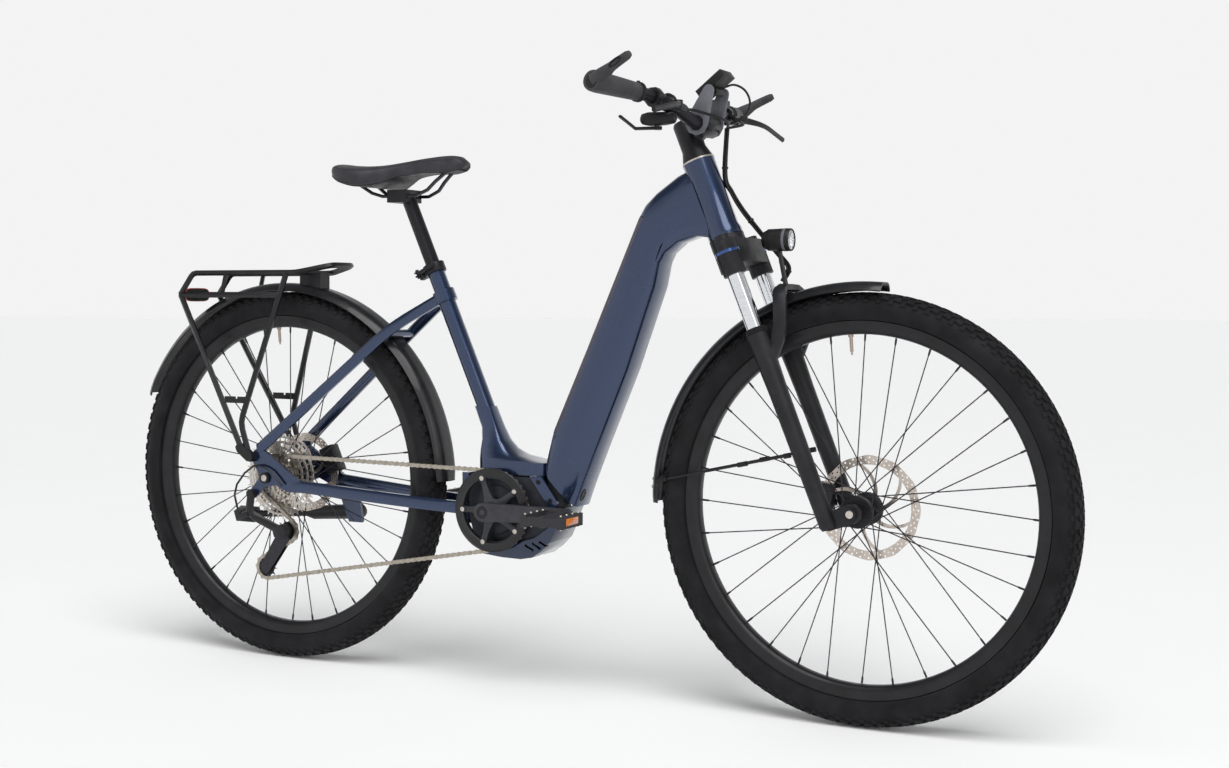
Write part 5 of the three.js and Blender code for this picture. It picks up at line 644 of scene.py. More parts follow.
ROTOR_ARMS = 6
ROTOR_SWEEP = math.radians(42)
ROTOR_HOLES = 36
ROTOR_BOLTS = 6
# Rows of holes in the rotor's band: depth from the edge and radius in millimetres, offset in pitches
ROTOR_HOLE_ROWS = ((4, 1.9, 0.0), (8.4, 1.5, 0.5), (12.4, 1.6, 0.1))
VALVE_ANGLE = math.radians(94.5)

# Rows of tread blocks: degrees over the casing, length, width and height in millimetres, degrees of turn,
# offset in pitches
TREAD_ROWS = [
    (8, 15, 7.0, 2.6, 14, 0.0),
    (25, 13, 6.5, 2.8, -18, 0.5),
    (43, 14, 7.5, 4.0, 8, 0.0),
    (58, 9, 6.5, 2.2, 0, 0.5),
]


def tread_block(form, foot, normal, x, y, long, wide, high):
    rings = []
    for height, share in ((-TREAD_SINK, 1.12), (high, 0.82)):
        middle = foot + normal * height
        rings.append([middle + x * i * long * share / 2 + y * j * wide * share / 2 for i, j in CORNERS])
    form.loft(rings)


def tyre(prefix, centre, body):
    form = Form()
    middle = TYRE_RADIUS - TREAD_HEIGHT - CASING_RISE
    arc = []
    for i in range(2 * CASING_STEPS + 1):
        angle = CASING_SWEEP * (i / CASING_STEPS - 1)
        line = MOULD_LINE_HEIGHT if i in MOULD_LINES else 0
        arc.append((middle + (CASING_RISE + line) * math.cos(angle), (TYRE_HALF + line) * math.sin(angle)))
    beads = [(RIM_OUTER + 0.6 * MM, BEAD_HALF), (BEAD_RADIUS, BEAD_HALF)]
    profile = [*arc, *beads, *[(r, -y) for r, y in reversed(beads)]]
    form.lathe([*profile, profile[0]], centre, ACROSS, WHEEL_FACETS)
    for lean, long, wide, high, twist, offset in TREAD_ROWS:
        angle, turn = math.radians(lean), math.radians(twist)
        for side in (-1, 1):
            for i in range(TREAD_COUNT):
                turned = TAU * (i + offset + (0.5 if side > 0 else 0)) / TREAD_COUNT
                radius = middle + CASING_RISE * math.cos(angle)
                foot = polar(centre, radius, turned, side * TYRE_HALF * math.sin(angle))
                outward = heading(turned)
                normal = (outward * math.cos(angle) + ACROSS * side * math.sin(angle)).normalized()
                along = ACROSS.cross(outward)
                x = along * math.cos(turn) + normal.cross(along) * math.sin(side * turn)
                tread_block(form, foot, normal, x, normal.cross(x), long * MM, wide * MM, high * MM)
    form.piece(prefix + "_tyre_treaded", TYRE, body, [prefix + "_tyre"], slot="tyre_rubber")


def rim(prefix, centre, body):
    side = [
        (RIM_INNER, 0),
        (RIM_INNER + 0.4 * MM, 7 * MM),
        (RIM_INNER + 3 * MM, 11.6 * MM),
        (RIM_INNER + 9 * MM, 14.6 * MM),
        (RIM_INNER + 15 * MM, RIM_HALF - 0.7 * MM),
        (RIM_OUTER - 2 * MM, RIM_HALF - 0.5 * MM),
        (RIM_OUTER - 0.8 * MM, RIM_HALF),
        (RIM_OUTER, RIM_HALF - 0.9 * MM),
        (RIM_OUTER - 0.3 * MM, RIM_HALF - 2.4 * MM),
        (BEAD_RADIUS - 0.6 * MM, RIM_HALF - 2.6 * MM),
    ]
    profile = [*side, *[(r, -y) for r, y in reversed(side[1:])]]
    form = Form().lathe([*profile, profile[0]], centre, ACROSS, WHEEL_FACETS)
    form.piece(prefix + "_rim_turned", BLACK_COAT, body, [prefix + "_rim"], slot="black_alloy")


def spokes(prefix, centre, body, left, right):
    form = Form()
    nipples = Form()
    reach = RIM_INNER - 0.2 * MM
    for i in range(SPOKE_COUNT):
        on_left = i % 2 == 0
        forward = 1 if (i // 2) % 2 == 0 else -1
        rim_angle = TAU * i / SPOKE_COUNT
        hub_angle = rim_angle + forward * math.acos(FLANGE_HOLES / reach) * SPOKE_CROSSING
        lean = SPOKE_LEAN * forward
        start = polar(centre, FLANGE_HOLES, hub_angle, (left if on_left else -right) + lean)
        end = polar(centre, reach, rim_angle, (NIPPLE_OFFSET if on_left else -NIPPLE_OFFSET) + lean)
        form.tube([start, end], SPOKE_RADIUS, 8)
        course = (start - end).normalized() * NIPPLE_LENGTH
        nipples.tube([end, end + course * 0.7, end + course], [1.9 * MM, 1.9 * MM, 1.4 * MM], 8)
    form.piece(prefix + "_spokes", DARK_STEEL, body, [prefix + "_hub"], slot="dark_steel")
    nipples.piece(prefix + "_nipples", DARK_STEEL, body, slot="dark_steel")


def hub(prefix, centre, body, half, left, right, rotor_plane, right_radius):
    # Radius, and distance inwards from the flange's plane in shares of its thickness
    waist = [(15 * MM, 3), (18 * MM, 1.4), (26 * MM, 1), (28 * MM, 0.5), (28 * MM, -0.5)]
    seat = rotor_plane - 0.3 * MM
    shell = [(6.6 * MM, -half), (right_radius, -half)]
    shell += [(right_radius, -right - FLANGE), (26 * MM, -right - FLANGE)]
    shell += [(radius, -right + FLANGE * share) for radius, share in reversed(waist)]
    shell += [(radius, left - FLANGE * share) for radius, share in waist]
    shell += [(23 * MM, left + FLANGE), (23 * MM, seat), (10 * MM, seat), (9.5 * MM, half), (6.6 * MM, half)]
    form = Form().lathe([*shell, shell[0]], centre, ACROSS)
    holes = SPOKE_COUNT // 2
    half_head = FLANGE * 0.8
    head = [(0, -half_head), (1.5 * MM, -half_head), (1.5 * MM, half_head), (0, half_head)]
    for side in (-right, left):
        for i in range(holes):
            form.lathe(head, polar(centre, FLANGE_HOLES, TAU * (i + 0.5) / holes, side), ACROSS, 8)
    form.piece(prefix + "_hub_shell", ANODISED, body, slot="dark_steel")


def rotor_window(first, last, inner):
    """One opening between two arms of the rotor."""
    edges = []
    for start, clear in ((first, 4.2 * MM), (last, -3.2 * MM)):
        edge = []
        for k in range(9):
            r = ROTOR_CARRIER + (inner - ROTOR_CARRIER) * (k / 8)
            edge.append(flat_point(r, start + ROTOR_SWEEP * (k / 8) + clear / r))
        edges.append(edge)
    outer = [flat_point(inner, first + ROTOR_SWEEP + (last - first) * k / 7) for k in range(1, 7)]
    return [*edges[0], *outer, *reversed(edges[1])]


def rotor(prefix, centre, body, radius, plane):
    outline = []
    for i in range(180):
        angle = TAU * i / 180
        outline.append(flat_point(radius - ROTOR_WAVE + ROTOR_WAVE * math.cos(12 * angle), angle))
    loops = [outline]
    for i in range(ROTOR_ARMS):
        loops.append(rotor_window(TAU * i / ROTOR_ARMS, TAU * (i + 1) / ROTOR_ARMS, radius - ROTOR_BAND))
    for i in range(ROTOR_HOLES):
        for reach, size, shift in ROTOR_HOLE_ROWS:
            middle = flat_point(radius - reach * MM, TAU * (i + shift) / ROTOR_HOLES)
            loops.append(circle(size * MM, 8, *middle))
    loops.append(circle(10.8 * MM, 32))
    form = Form().plate(loops, centre + ACROSS * (plane + ROTOR_THICKNESS / 2), ROTOR_THICKNESS)
    form.piece(prefix + "_rotor_drilled", ROTOR_STEEL, body, [prefix + "_rotor"], slot="steel")
    bolts = Form()
    for i in range(ROTOR_BOLTS):
        place = polar(centre, 17.5 * MM, TAU * (i + 0.5) / ROTOR_BOLTS, plane + ROTOR_THICKNESS)
        bolts.bolt(place, ACROSS, 3.2 * MM, 2.2 * MM)
    bolts.piece(prefix + "_rotor_bolts", DARK_STEEL, body, slot="dark_steel")


def valve(prefix, centre, body):
    outward = heading(VALVE_ANGLE)
    stem = [(0, 34), (1.6, 34), (1.6, 29), (2.4, 28.6), (2.9, 27)]
    stem += [(2.9, 4), (4.6, 3.6), (4.6, 0.2), (0, 0.2)]
    Form().turned(stem, centre + outward * RIM_INNER, -outward, 16).piece(prefix + "_valve", BRASS, body)


# Centre, body, then in millimetres: half width, left and right flange, rotor radius and plane, right radius
WHEELS = {
    "front": (FRONT_AXLE, "front_wheel", (49.7, 27, 27, 90, 35, 10)),
    "rear": (REAR_AXLE, "rear_wheel", (67.7, 32, 19, 80, 53, 12.4)),
}
for prefix, (centre, body, sizes) in WHEELS.items():
    half, left, right, disc, plane, shaft = (size * MM for size in sizes)
    tyre(prefix, centre, body)
    rim(prefix, centre, body)
    spokes(prefix, centre, body, left, right)
    hub(prefix, centre, body, half, left, right, plane, shaft)
    rotor(prefix, centre, body, disc, plane)
    valve(prefix, centre, body)


# Mudguards
GUARD_RADIUS = 384 * MM
GUARD_HALF = 32 * MM
GUARD_DROP = 14 * MM
GUARD_WALL = 2.2 * MM
GUARD_STATIONS = 60
REAR_GUARD_SPAN = (math.radians(1), math.radians(156))
FRONT_GUARD_SPAN = (math.radians(84.5), math.radians(181))
ROD_ANGLE = math.radians(174.8)
ROD_ALONG = 0.126
SCREW_SPREAD = 13 * MM
# Half-width share and drop share across the mudguard's crown
GUARD_SECTION = [(i / 8 - 1, max(0.0, (abs(i / 8 - 1) - 0.25) / 0.75) ** 2.6) for i in range(17)]


def guard_loft(form, centre, start, end):
    rings = []
    for i in range(GUARD_STATIONS + 1):
        angle = start + (end - start) * i / GUARD_STATIONS
        edge = min(i, GUARD_STATIONS - i) / 2
        half = GUARD_HALF * (1 - 0.14 * max(0, 1 - edge) ** 2)
        ring = [polar(centre, GUARD_RADIUS - GUARD_DROP * d, angle, s * half) for s, d in GUARD_SECTION]
        inside, half = GUARD_RADIUS - GUARD_WALL, half - GUARD_WALL
        ring += [polar(centre, inside - GUARD_DROP * d, angle, s * half) for s, d in reversed(GUARD_SECTION)]
        rings.append(ring)
    form.loft(rings)


def mudguards():
    rear = Form()
    guard_loft(rear, REAR_AXLE, *REAR_GUARD_SPAN)
    rear.piece("rear_mudguard_shell", GUARD_BLACK, "frame", ["rear_mudguard"], slot="black_plastic")
    front = Form()
    guard_loft(front, FRONT_AXLE, *FRONT_GUARD_SPAN)
    seat = on_steer(ARCH_TOP - 8.9 * MM, ARCH_FORWARD)
    outward = (seat - FRONT_AXLE).normalized()
    inner = FRONT_AXLE + outward * (GUARD_RADIUS - GUARD_WALL)
    pad = (20 * MM, 20 * MM, (seat - inner).length)
    front.block((seat + inner) / 2, ACROSS, outward.cross(ACROSS), pad, 1.5 * MM)
    front.piece("front_mudguard_shell", GUARD_BLACK, "fork", ["front_mudguard"], slot="black_plastic")
    rods, screws, clips = Form(), Form(), Form()
    for side in (-1, 1):
        low = polar(FRONT_AXLE, GUARD_RADIUS - GUARD_DROP, ROD_ANGLE, side * (GUARD_HALF - 1.2 * MM))
        leg = on_steer(ROD_ALONG, -3 * MM, side * LEG_SPREAD)
        rods.tube([low, leg], 2.4 * MM, 12)
        course = (low - leg).normalized()
        clips.tube([leg + course * 0.085, leg + course * 0.103], 4.4 * MM, 12)
        clips.tube([leg + course * 0.0005, leg + course * 0.012], 4.6 * MM, 12)
        clips.tube([low - course * 0.022, low + course * 0.002], 4.2 * MM, 12)
        for lift in (0.0, 2.1):
            angle = ROD_ANGLE + math.radians(lift)
            place = polar(FRONT_AXLE, GUARD_RADIUS + 0.2 * MM, angle, side * SCREW_SPREAD)
            screws.bolt(place, heading(ROD_ANGLE), 3 * MM, 1.6 * MM)
    rods.piece("mudguard_rods", BLACK_COAT, "fork")
    clips.piece("mudguard_clips", BLACK_PLASTIC, "fork")
    screws.piece("mudguard_screws", BRASS, "fork")


mudguards()


# Saddle: a crowned, padded form with a stitched edge and a dip along the nose
SADDLE_REAR = Vector((-457.45 * MM, 0, 914.2 * MM))
SADDLE_LENGTH = 280 * MM
SADDLE_WIDTH = 161 * MM
SADDLE_HEIGHT = 75 * MM
SADDLE_DIP = 4.2 * MM
SADDLE_WRAP = math.radians(104)
SADDLE_TUCK = math.radians(14)
STITCH_COUNT = 84
# along, width, top, edge, base as shares of the saddle's sizes
SADDLE_SHARES = [
    (0, 0.45, 0.83, 0.6, 0.6),
    (0.05, 0.8, 0.86, 0.5, 0.5),
    (0.12, 0.96, 0.83, 0.36, 0.44),
    (0.24, 1, 0.8, 0.24, 0.42),
    (0.33, 0.92, 0.79, 0.24, 0.44),
    (0.42, 0.7, 0.81, 0.32, 0.46),
    (0.54, 0.48, 0.87, 0.48, 0.53),
    (0.7, 0.36, 0.95, 0.55, 0.58),
    (0.86, 0.3, 0.99, 0.54, 0.58),
    (0.95, 0.26, 0.95, 0.6, 0.64),
    (1, 0.14, 0.82, 0.68, 0.7),
]


def saddle_row(along):
    """The saddle's width, top, edge and base at a share of its length, on a smooth course."""
    rows = SADDLE_SHARES
    i = max(k for k in range(len(rows) - 1) if rows[k][0] <= along)
    t = (along - rows[i][0]) / (rows[i + 1][0] - rows[i][0])
    near = (rows[max(i - 1, 0)], rows[i], rows[i + 1], rows[min(i + 2, len(rows) - 1)])
    return [smoothed(*column, t) for column in list(zip(*near))[1:]]


def saddle_point(along, across, lift=0.0):
    """A point on the padded top, across from -1 to 1 at the lower edge."""
    width, top, edge, _ = saddle_row(along)
    half = width * SADDLE_WIDTH / 2
    low, rise = edge * SADDLE_HEIGHT, top * SADDLE_HEIGHT - edge * SADDLE_HEIGHT
    angle = abs(across) * SADDLE_WRAP
    length_share = math.sin(math.pi * min(1, max(0, (along - 0.03) / 0.86)))
    dip = SADDLE_DIP * math.exp(-((abs(across) / 0.17) ** 2)) * length_share
    if angle > math.pi / 2:
        tuck = (angle - math.pi / 2) / SADDLE_TUCK
        y, z = half * (1 - 0.06 * tuck), low + rise * 0.3 * (1 - tuck)
    else:
        y = half * min(1.0, math.sin(angle) ** 0.86)
        z = low + rise * (0.3 + 0.7 * max(0.0, math.cos(angle)) ** 0.62)
    y = math.copysign(y, across) if across else 0
    return SADDLE_REAR + Vector((along * SADDLE_LENGTH, y, z - dip + lift))


def saddle():
    stations = [0.004, *[i / 40 for i in range(1, 40)], 0.996]
    rings = []
    shell_rings = []
    for along in stations:
        width, top, edge, base = saddle_row(along)
        half = width * SADDLE_WIDTH / 2
        low = base * SADDLE_HEIGHT + (top - edge) * SADDLE_HEIGHT * 0.24
        upper = [saddle_point(along, k / 14 - 1) for k in range(29)]
        foot = upper[0].z
        inner = SADDLE_REAR + Vector((along * SADDLE_LENGTH, 0, min(low, foot - SADDLE_REAR.z + 4 * MM)))
        under = [inner + ACROSS * half * s + UPRIGHT * abs(s) * -2 * MM for s in (0.8, 0.4, 0, -0.4, -0.8)]
        rings.append([*upper, *under])
        ridge = inner.z - 3 * MM
        outer = []
        for s, share in ((-0.9, 0.35), (-0.5, 0.85), (0, 1), (0.5, 0.85), (0.9, 0.35)):
            point = SADDLE_REAR + Vector((along * SADDLE_LENGTH, half * s, 0))
            point.z = foot + (ridge - foot) * share - 0.6 * MM
            outer.append(point)
        if 0.03 < along < 0.97:
            shell_rings.append([*outer, *[p + UPRIGHT * 3 * MM for p in reversed(outer)]])
    cover = Form().loft(rings)
    for side in (-1, 1):
        seam = [saddle_point(a, side * 0.97) + ACROSS * side * 0.3 * MM for a in stations[1:-1]]
        cover.tube(seam, 1.3 * MM, 8)
    padded = cover.piece("saddle_pad", SKIN, "seat", ["saddle"], angle=60, slot="saddle_skin")
    Form().loft(shell_rings).piece("saddle_shell", BLACK_PLASTIC, "seat", slot="black_plastic")
    stitches = Form()
    for side in (-1, 1):
        for i in range(STITCH_COUNT):
            along = 0.05 + 0.9 * i / STITCH_COUNT
            ends = (along, along + 0.5 * 0.9 / STITCH_COUNT)
            stitches.tube([saddle_point(end, side * 0.62, 0.15 * MM) for end in ends], 0.45 * MM, 6)
    stitches.piece("saddle_stitches", BLACK_PLASTIC, "seat")


saddle()


# Drive train
SPROCKETS = [11, 13, 15, 18, 21, 24, 28, 32, 37, 42]
FIRST_SPROCKET = -62 * MM
SPROCKET_PITCH = 3.95 * MM
SPROCKET_IN_USE = 4
CHAIN_PITCH = 12.7 * MM
RING_TEETH = 36
JOCKEY_TEETH = 11
CHAIN_RING_PLANE = -50 * MM
# Bore of the cassette's core as a radius in millimetres
CORE_INNER = 12.9
TOOTH_TIP = 2.6 * MM
TOOTH_ROOT = 4.7 * MM
TOOTH_HALF = 1.7 * MM
CRANK_ANGLE = math.radians(1)
CRANK_LENGTH = 172.5 * MM
CRANK_FACE = 90 * MM
SPIDER_ARMS = 5
# Reach, half width and depth along an arm of the spider, in millimetres
SPIDER_ROWS = ((19, 10.5, 5), (30, 7.2, 4.4), (46, 5.2, 3.8), (56, 5.6, 3.6), (61.5, 7, 3.4))
REFLECTOR_REACH = 40.2 * MM
REFLECTOR_SIZES = (44 * MM, 13 * MM, 2.6 * MM)
STUD_REACH = 35.5 * MM
STUD_PITCH = 21 * MM
STUD_LIFT = 10.8 * MM
# The chain's lower run starts under the jockey wheel's centre and ends under the crank's, with two reaches
# along it between
RUN_START_DROP = 22 * MM
RUN_END_DROP = 77 * MM
RUN_BEND = (95 * MM, 260 * MM)


def pitch_radius(teeth):
    return CHAIN_PITCH / (2 * math.sin(math.pi / teeth))


def node_phase(name, centre, plane, teeth):
    """The angle of a tooth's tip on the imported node, so that the new teeth stand in the chain's gaps."""
    tip = pitch_radius(teeth) + TOOTH_TIP
    for vertex in frame["nodes"][name].data.vertices:
        x, y, z = vertex.co.x - centre.x, vertex.co.y - plane, vertex.co.z - centre.z
        if abs(y) < 1.2 * MM and abs(math.hypot(x, z) - tip) < 0.2 * MM:
            return math.atan2(z, x)
    return 0.0


def tooth_loop(teeth, phase, shorten=0.0):
    radius = pitch_radius(teeth)
    root, tip = radius - TOOTH_ROOT, radius + TOOTH_TIP - shorten
    half = TOOTH_HALF / root
    side = [(root, half), (radius + 0.6 * MM, half * 0.36), (tip, half * 0.14)]
    tooth = [*[(reach, -offset) for reach, offset in side], *reversed(side)]
    loop = []
    for i in range(teeth):
        angle = phase + TAU * i / teeth
        loop += [flat_point(reach, angle + offset) for reach, offset in tooth]
    return loop


def cassette():
    form = Form()
    for i, teeth in enumerate(SPROCKETS):
        plane = FIRST_SPROCKET + i * SPROCKET_PITCH
        used = i == SPROCKET_IN_USE
        phase = node_phase("cassette", REAR_AXLE, plane, teeth) if used else 0.13 * i
        loops = [tooth_loop(teeth, phase, 0.0 if used else 0.9 * MM), circle(CORE_INNER * MM, 32)]
        low, high = 21 * MM, pitch_radius(teeth) - TOOTH_ROOT - 4.5 * MM
        if teeth >= 28:
            for k in range(6):
                start = TAU * k / 6 + 0.2 * i
                inner = [flat_point(low, start + 0.16 + 0.72 * s / 4) for s in range(5)]
                outer = [flat_point(high, start + 0.2 + 0.8 * (4 - s) / 4) for s in range(5)]
                loops.append([*inner, *outer])
            if high > 50 * MM:
                holes = teeth // 2
                for k in range(holes):
                    loops.append(circle(1.3 * MM, 6, *flat_point(high + 2.6 * MM, TAU * k / holes)))
        form.plate(loops, REAR_AXLE + ACROSS * plane, 1.6 * MM)
    last = 1.8 + 9 * SPROCKET_PITCH / MM + 1.6
    core = [(CORE_INNER, 0), (15.6, 0), (16.5, 1), (16.5, last), (CORE_INNER, last)]
    form.ring(core, REAR_AXLE + ACROSS * (FIRST_SPROCKET - 1.8 * MM), ACROSS, 40)
    form.piece("cassette_toothed", STEEL, "cassette", ["cassette"], angle=30, slot="steel")


def chainring():
    middle = CRANK + ACROSS * CHAIN_RING_PLANE
    phase = node_phase("chainring", CRANK, CHAIN_RING_PLANE, RING_TEETH)
    teeth = Form().plate([tooth_loop(RING_TEETH, phase), circle(58.5 * MM, 72)], middle, 1.7 * MM)
    teeth.piece("chainring_teeth", DARK_STEEL, "cranks", ["chainring"], angle=30, slot="dark_steel")
    guard = [(60.2, 0.9), (60.2, 6.2), (60.9, 6.9), (62.2, 6.9), (63, 6.3), (75, 6.3), (75.8, 6.95)]
    guard += [(77.3, 6.95), (78, 6.2), (78, 4.3), (77.3, 3.6), (66, 3.6), (66, 0.9)]
    Form().ring(guard, middle, -ACROSS, 96).piece("chainring_guard", GUARD_BLACK, "cranks", slot="dark_steel")
    bolts = Form()
    face = CRANK + ACROSS * (CHAIN_RING_PLANE - 7 * MM)
    spider = Form().ring([(13.5, 0), (20, 0), (22, 1.5), (22, 8), (13.5, 8)], face, ACROSS, 40)
    bevelled = ((-1, -0.5), (-0.7, -1), (0.7, -1), (1, -0.5), (1, 0.5), (0.7, 1), (-0.7, 1), (-1, 0.5))
    for i in range(SPIDER_ARMS):
        angle = CRANK_ANGLE + TAU * (i + 0.5) / SPIDER_ARMS
        out, aside = heading(angle), heading(angle + math.pi / 2)
        rings = []
        for reach, half, deep in SPIDER_ROWS:
            arm = face + ACROSS * 3 * MM + out * reach * MM
            rings.append([arm + aside * a * half * MM + ACROSS * b * deep * MM / 2 for a, b in bevelled])
        spider.loft(rings)
        seat = face - ACROSS * 0.1 * MM + out * 61.8 * MM
        spider.turned([(0, 0.2), (6.4, 0.2), (6.4, 6), (0, 6)], seat, ACROSS, 20)
        bolts.bolt(seat + ACROSS * 0.3 * MM, -ACROSS, 4.4 * MM, 1.3 * MM)
    spider.piece("chainring_spider", CRANK_GREY, "cranks", slot="dark_steel")
    bolts.piece("chainring_bolts", STEEL, "cranks")


def crank_details():
    cap = [(0, -1), (11.5, -1), (11.5, 0.6), (10.5, 1.2), (6.2, 1.2), (5.2, -0.6), (0, -0.6)]
    end_cap = [(0, -1), (7, -1), (7, 0.7), (4, 1), (0, 0.4)]
    for side, name in SIDES:
        face = CRANK + ACROSS * side * CRANK_FACE
        end = face + heading(CRANK_ANGLE + (0 if side < 0 else math.pi)) * CRANK_LENGTH
        form = Form().turned(cap, face, ACROSS * side, 32).turned(end_cap, end, ACROSS * side, 24)
        form.piece(name + "_crank_caps", BLACK_COAT, "cranks")


def pedal_details():
    stud = [(0, 0), (2.0, 0), (2.0, 1.6), (1.3, 2.6), (0, 2.6)]
    for _, name in SIDES:
        low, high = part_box(name + "_pedal")
        middle = (Vector(low) + Vector(high)) / 2
        lenses = Form()
        studs = Form()
        for end in (-1, 1):
            face = middle + AHEAD * end * REFLECTOR_REACH
            lenses.block(face, ACROSS, UPRIGHT, REFLECTOR_SIZES, 0.8 * MM)
            for up in (-1, 1):
                row = middle + AHEAD * end * STUD_REACH + UPRIGHT * up * STUD_LIFT
                for k in (-1.5, -0.5, 0.5, 1.5):
                    studs.turned(stud, row + ACROSS * k * STUD_PITCH, UPRIGHT * up, 10)
        lenses.piece(name + "_pedal_reflectors", AMBER, name + "_pedal_body")
        studs.piece(name + "_pedal_studs", STEEL, name + "_pedal_body")


def chain_stops():
    """Centre, teeth, plane and turning sense of each wheel along the chain's course."""
    used = FIRST_SPROCKET + SPROCKET_IN_USE * SPROCKET_PITCH
    return [
        (CRANK, RING_TEETH, CHAIN_RING_PLANE, -1),
        (LOWER_JOCKEY, JOCKEY_TEETH, used, -1),
        (UPPER_JOCKEY, JOCKEY_TEETH, used, 1),
        (REAR_AXLE, SPROCKETS[SPROCKET_IN_USE], used, -1),
    ]


def chain_course():
    """A fine closed line: arcs on the pitch circles, joined by their common tangents."""
    stops = chain_stops()
    runs = []
    for i, (a, teeth_a, _, sense_a) in enumerate(stops):
        b, teeth_b, _, sense_b = stops[(i + 1) % len(stops)]
        reach = math.hypot(b.x - a.x, b.z - a.z)
        lean = (sense_b * pitch_radius(teeth_b) - sense_a * pitch_radius(teeth_a)) / reach
        runs.append(math.atan2(b.z - a.z, b.x - a.x) + math.acos(lean))
    course = []
    for i, (centre, teeth, plane, sense) in enumerate(stops):
        arrive, leave = runs[i - 1], runs[i]
        turn = (leave - arrive) * sense % TAU
        steps = max(2, int(math.degrees(turn)))
        for k in range(steps + 1):
            x, z = flat_point(-sense * pitch_radius(teeth), arrive + sense * turn * k / steps)
            course.append(Vector((centre.x + x, plane, centre.z + z)))
    return course


def chain_rollers():
    """Roller centres a pitch apart, from one that sits between two teeth of the chainring."""
    course = chain_course()
    angle = node_phase("chainring", CRANK, CHAIN_RING_PLANE, RING_TEETH) + math.pi / RING_TEETH
    angles = [angle + TAU * k / RING_TEETH for k in range(RING_TEETH)]
    seats = [polar(CRANK, pitch_radius(RING_TEETH), a, CHAIN_RING_PLANE) for a in angles]
    start = max(seats, key=lambda p: p.x)
    first = min(range(len(course)), key=lambda k: (course[k] - start).length)
    course = course[first:] + course[:first]
    rollers = [start]
    for a, b in zip(course, [*course[1:], course[0]]):
        while (b - rollers[-1]).length >= CHAIN_PITCH:
            low, high = 0.0, 1.0
            for _ in range(24):
                middle = (low + high) / 2
                if (a.lerp(b, middle) - rollers[-1]).length < CHAIN_PITCH:
                    low = middle
                else:
                    high = middle
            rollers.append(a.lerp(b, low))
            a = rollers[-1]
    if (rollers[-1] - rollers[0]).length < CHAIN_PITCH / 2:
        rollers.pop()
    return rollers


def chain_link(form, place, after, offset):
    """Two side plates, the pin and the roller, from one roller centre to the next."""
    way = (after - place).normalized()
    up = way.cross(ACROSS).normalized()
    end, waist, half_plate = 4.1 * MM, 2.9 * MM, 0.42 * MM
    outline = []
    for centre, turn in ((after, -math.pi / 2), (place, math.pi / 2)):
        for k in range(7):
            angle = turn + math.pi * k / 6
            outline.append(centre + way * end * math.cos(angle) + up * end * math.sin(angle))
        outline.append((place + after) / 2 + up * waist * (1 if centre is after else -1))
    for side in (-1, 1):
        depths = (side * (offset - half_plate), side * (offset + half_plate))
        form.loft([[p + ACROSS * depth for p in outline] for depth in depths])
    for half, radius, sides in ((3.6, 1.8, 8), (1.5, 3.8, 12)):
        form.tube([place - ACROSS * half * MM, place + ACROSS * half * MM], radius * MM, sides)


def chain():
    """The links from the lower run to the upper jockey wheel are one piece attached to no body; the others
    follow the frame.
    """
    rollers = chain_rollers()
    reach = pitch_radius(JOCKEY_TEETH) + MM
    near = [math.hypot(p.x - UPPER_JOCKEY.x, p.z - UPPER_JOCKEY.z) < reach for p in rollers]
    last = max(i for i, on_wheel in enumerate(near) if on_wheel)
    fixed, swung = Form(), Form()
    for i, place in enumerate(rollers):
        after = rollers[(i + 1) % len(rollers)]
        chain_link(swung if i <= last else fixed, place, after, 2.85 * MM if i % 2 else 1.95 * MM)
    fixed.piece("chain_links", CHAIN_STEEL, "frame", ["chain"], angle=30, slot="steel")
    foot = LOWER_JOCKEY - UPRIGHT * RUN_START_DROP
    run = Vector((CRANK.x - foot.x, 0, CRANK.z - RUN_END_DROP - foot.z)).normalized()
    bend = ("frame", *[foot + run * reach for reach in RUN_BEND])
    swung.piece("chain_cage_links", CHAIN_STEEL, "cage", angle=30, slot="steel", bend=bend)


cassette()
chainring()
chain()
crank_details()
pedal_details()


# Lights
LAMP_CENTRE = on_steer(0.480, 86 * MM)
LAMP_START = LAMP_CENTRE - AHEAD * 26 * MM
LAMP_FOOT = on_steer(0.4049, ARCH_FORWARD)
LAMP_RIBS = 5
# In millimetres: half the spread of the stay's wires, then the profiles of shell, bowl and lens
LAMP_STAY_SPREAD = 7.5
LAMP_SHELL = [
    (0, 0), (10, 0), (13.6, 1.2), (16, 5), (17.8, 11), (18.8, 20), (19.3, 30), (19.5, 40), (19.5, 50.5),
    (18.8, 51.6), (17.2, 51.6), (16.8, 48), (12, 36), (0, 30),
]
LAMP_BOWL = [
    (0, 33), (5, 34), (11, 39), (15.4, 46.5), (16.6, 50), (16.1, 50), (14.9, 46.8), (10.6, 39.6), (4.8, 34.8),
    (0, 33.8),
]
LAMP_LENS = [(0, 49.6), (16.9, 49.6), (16.9, 50.4), (12, 51.4), (6, 51.8), (0, 51.9)]


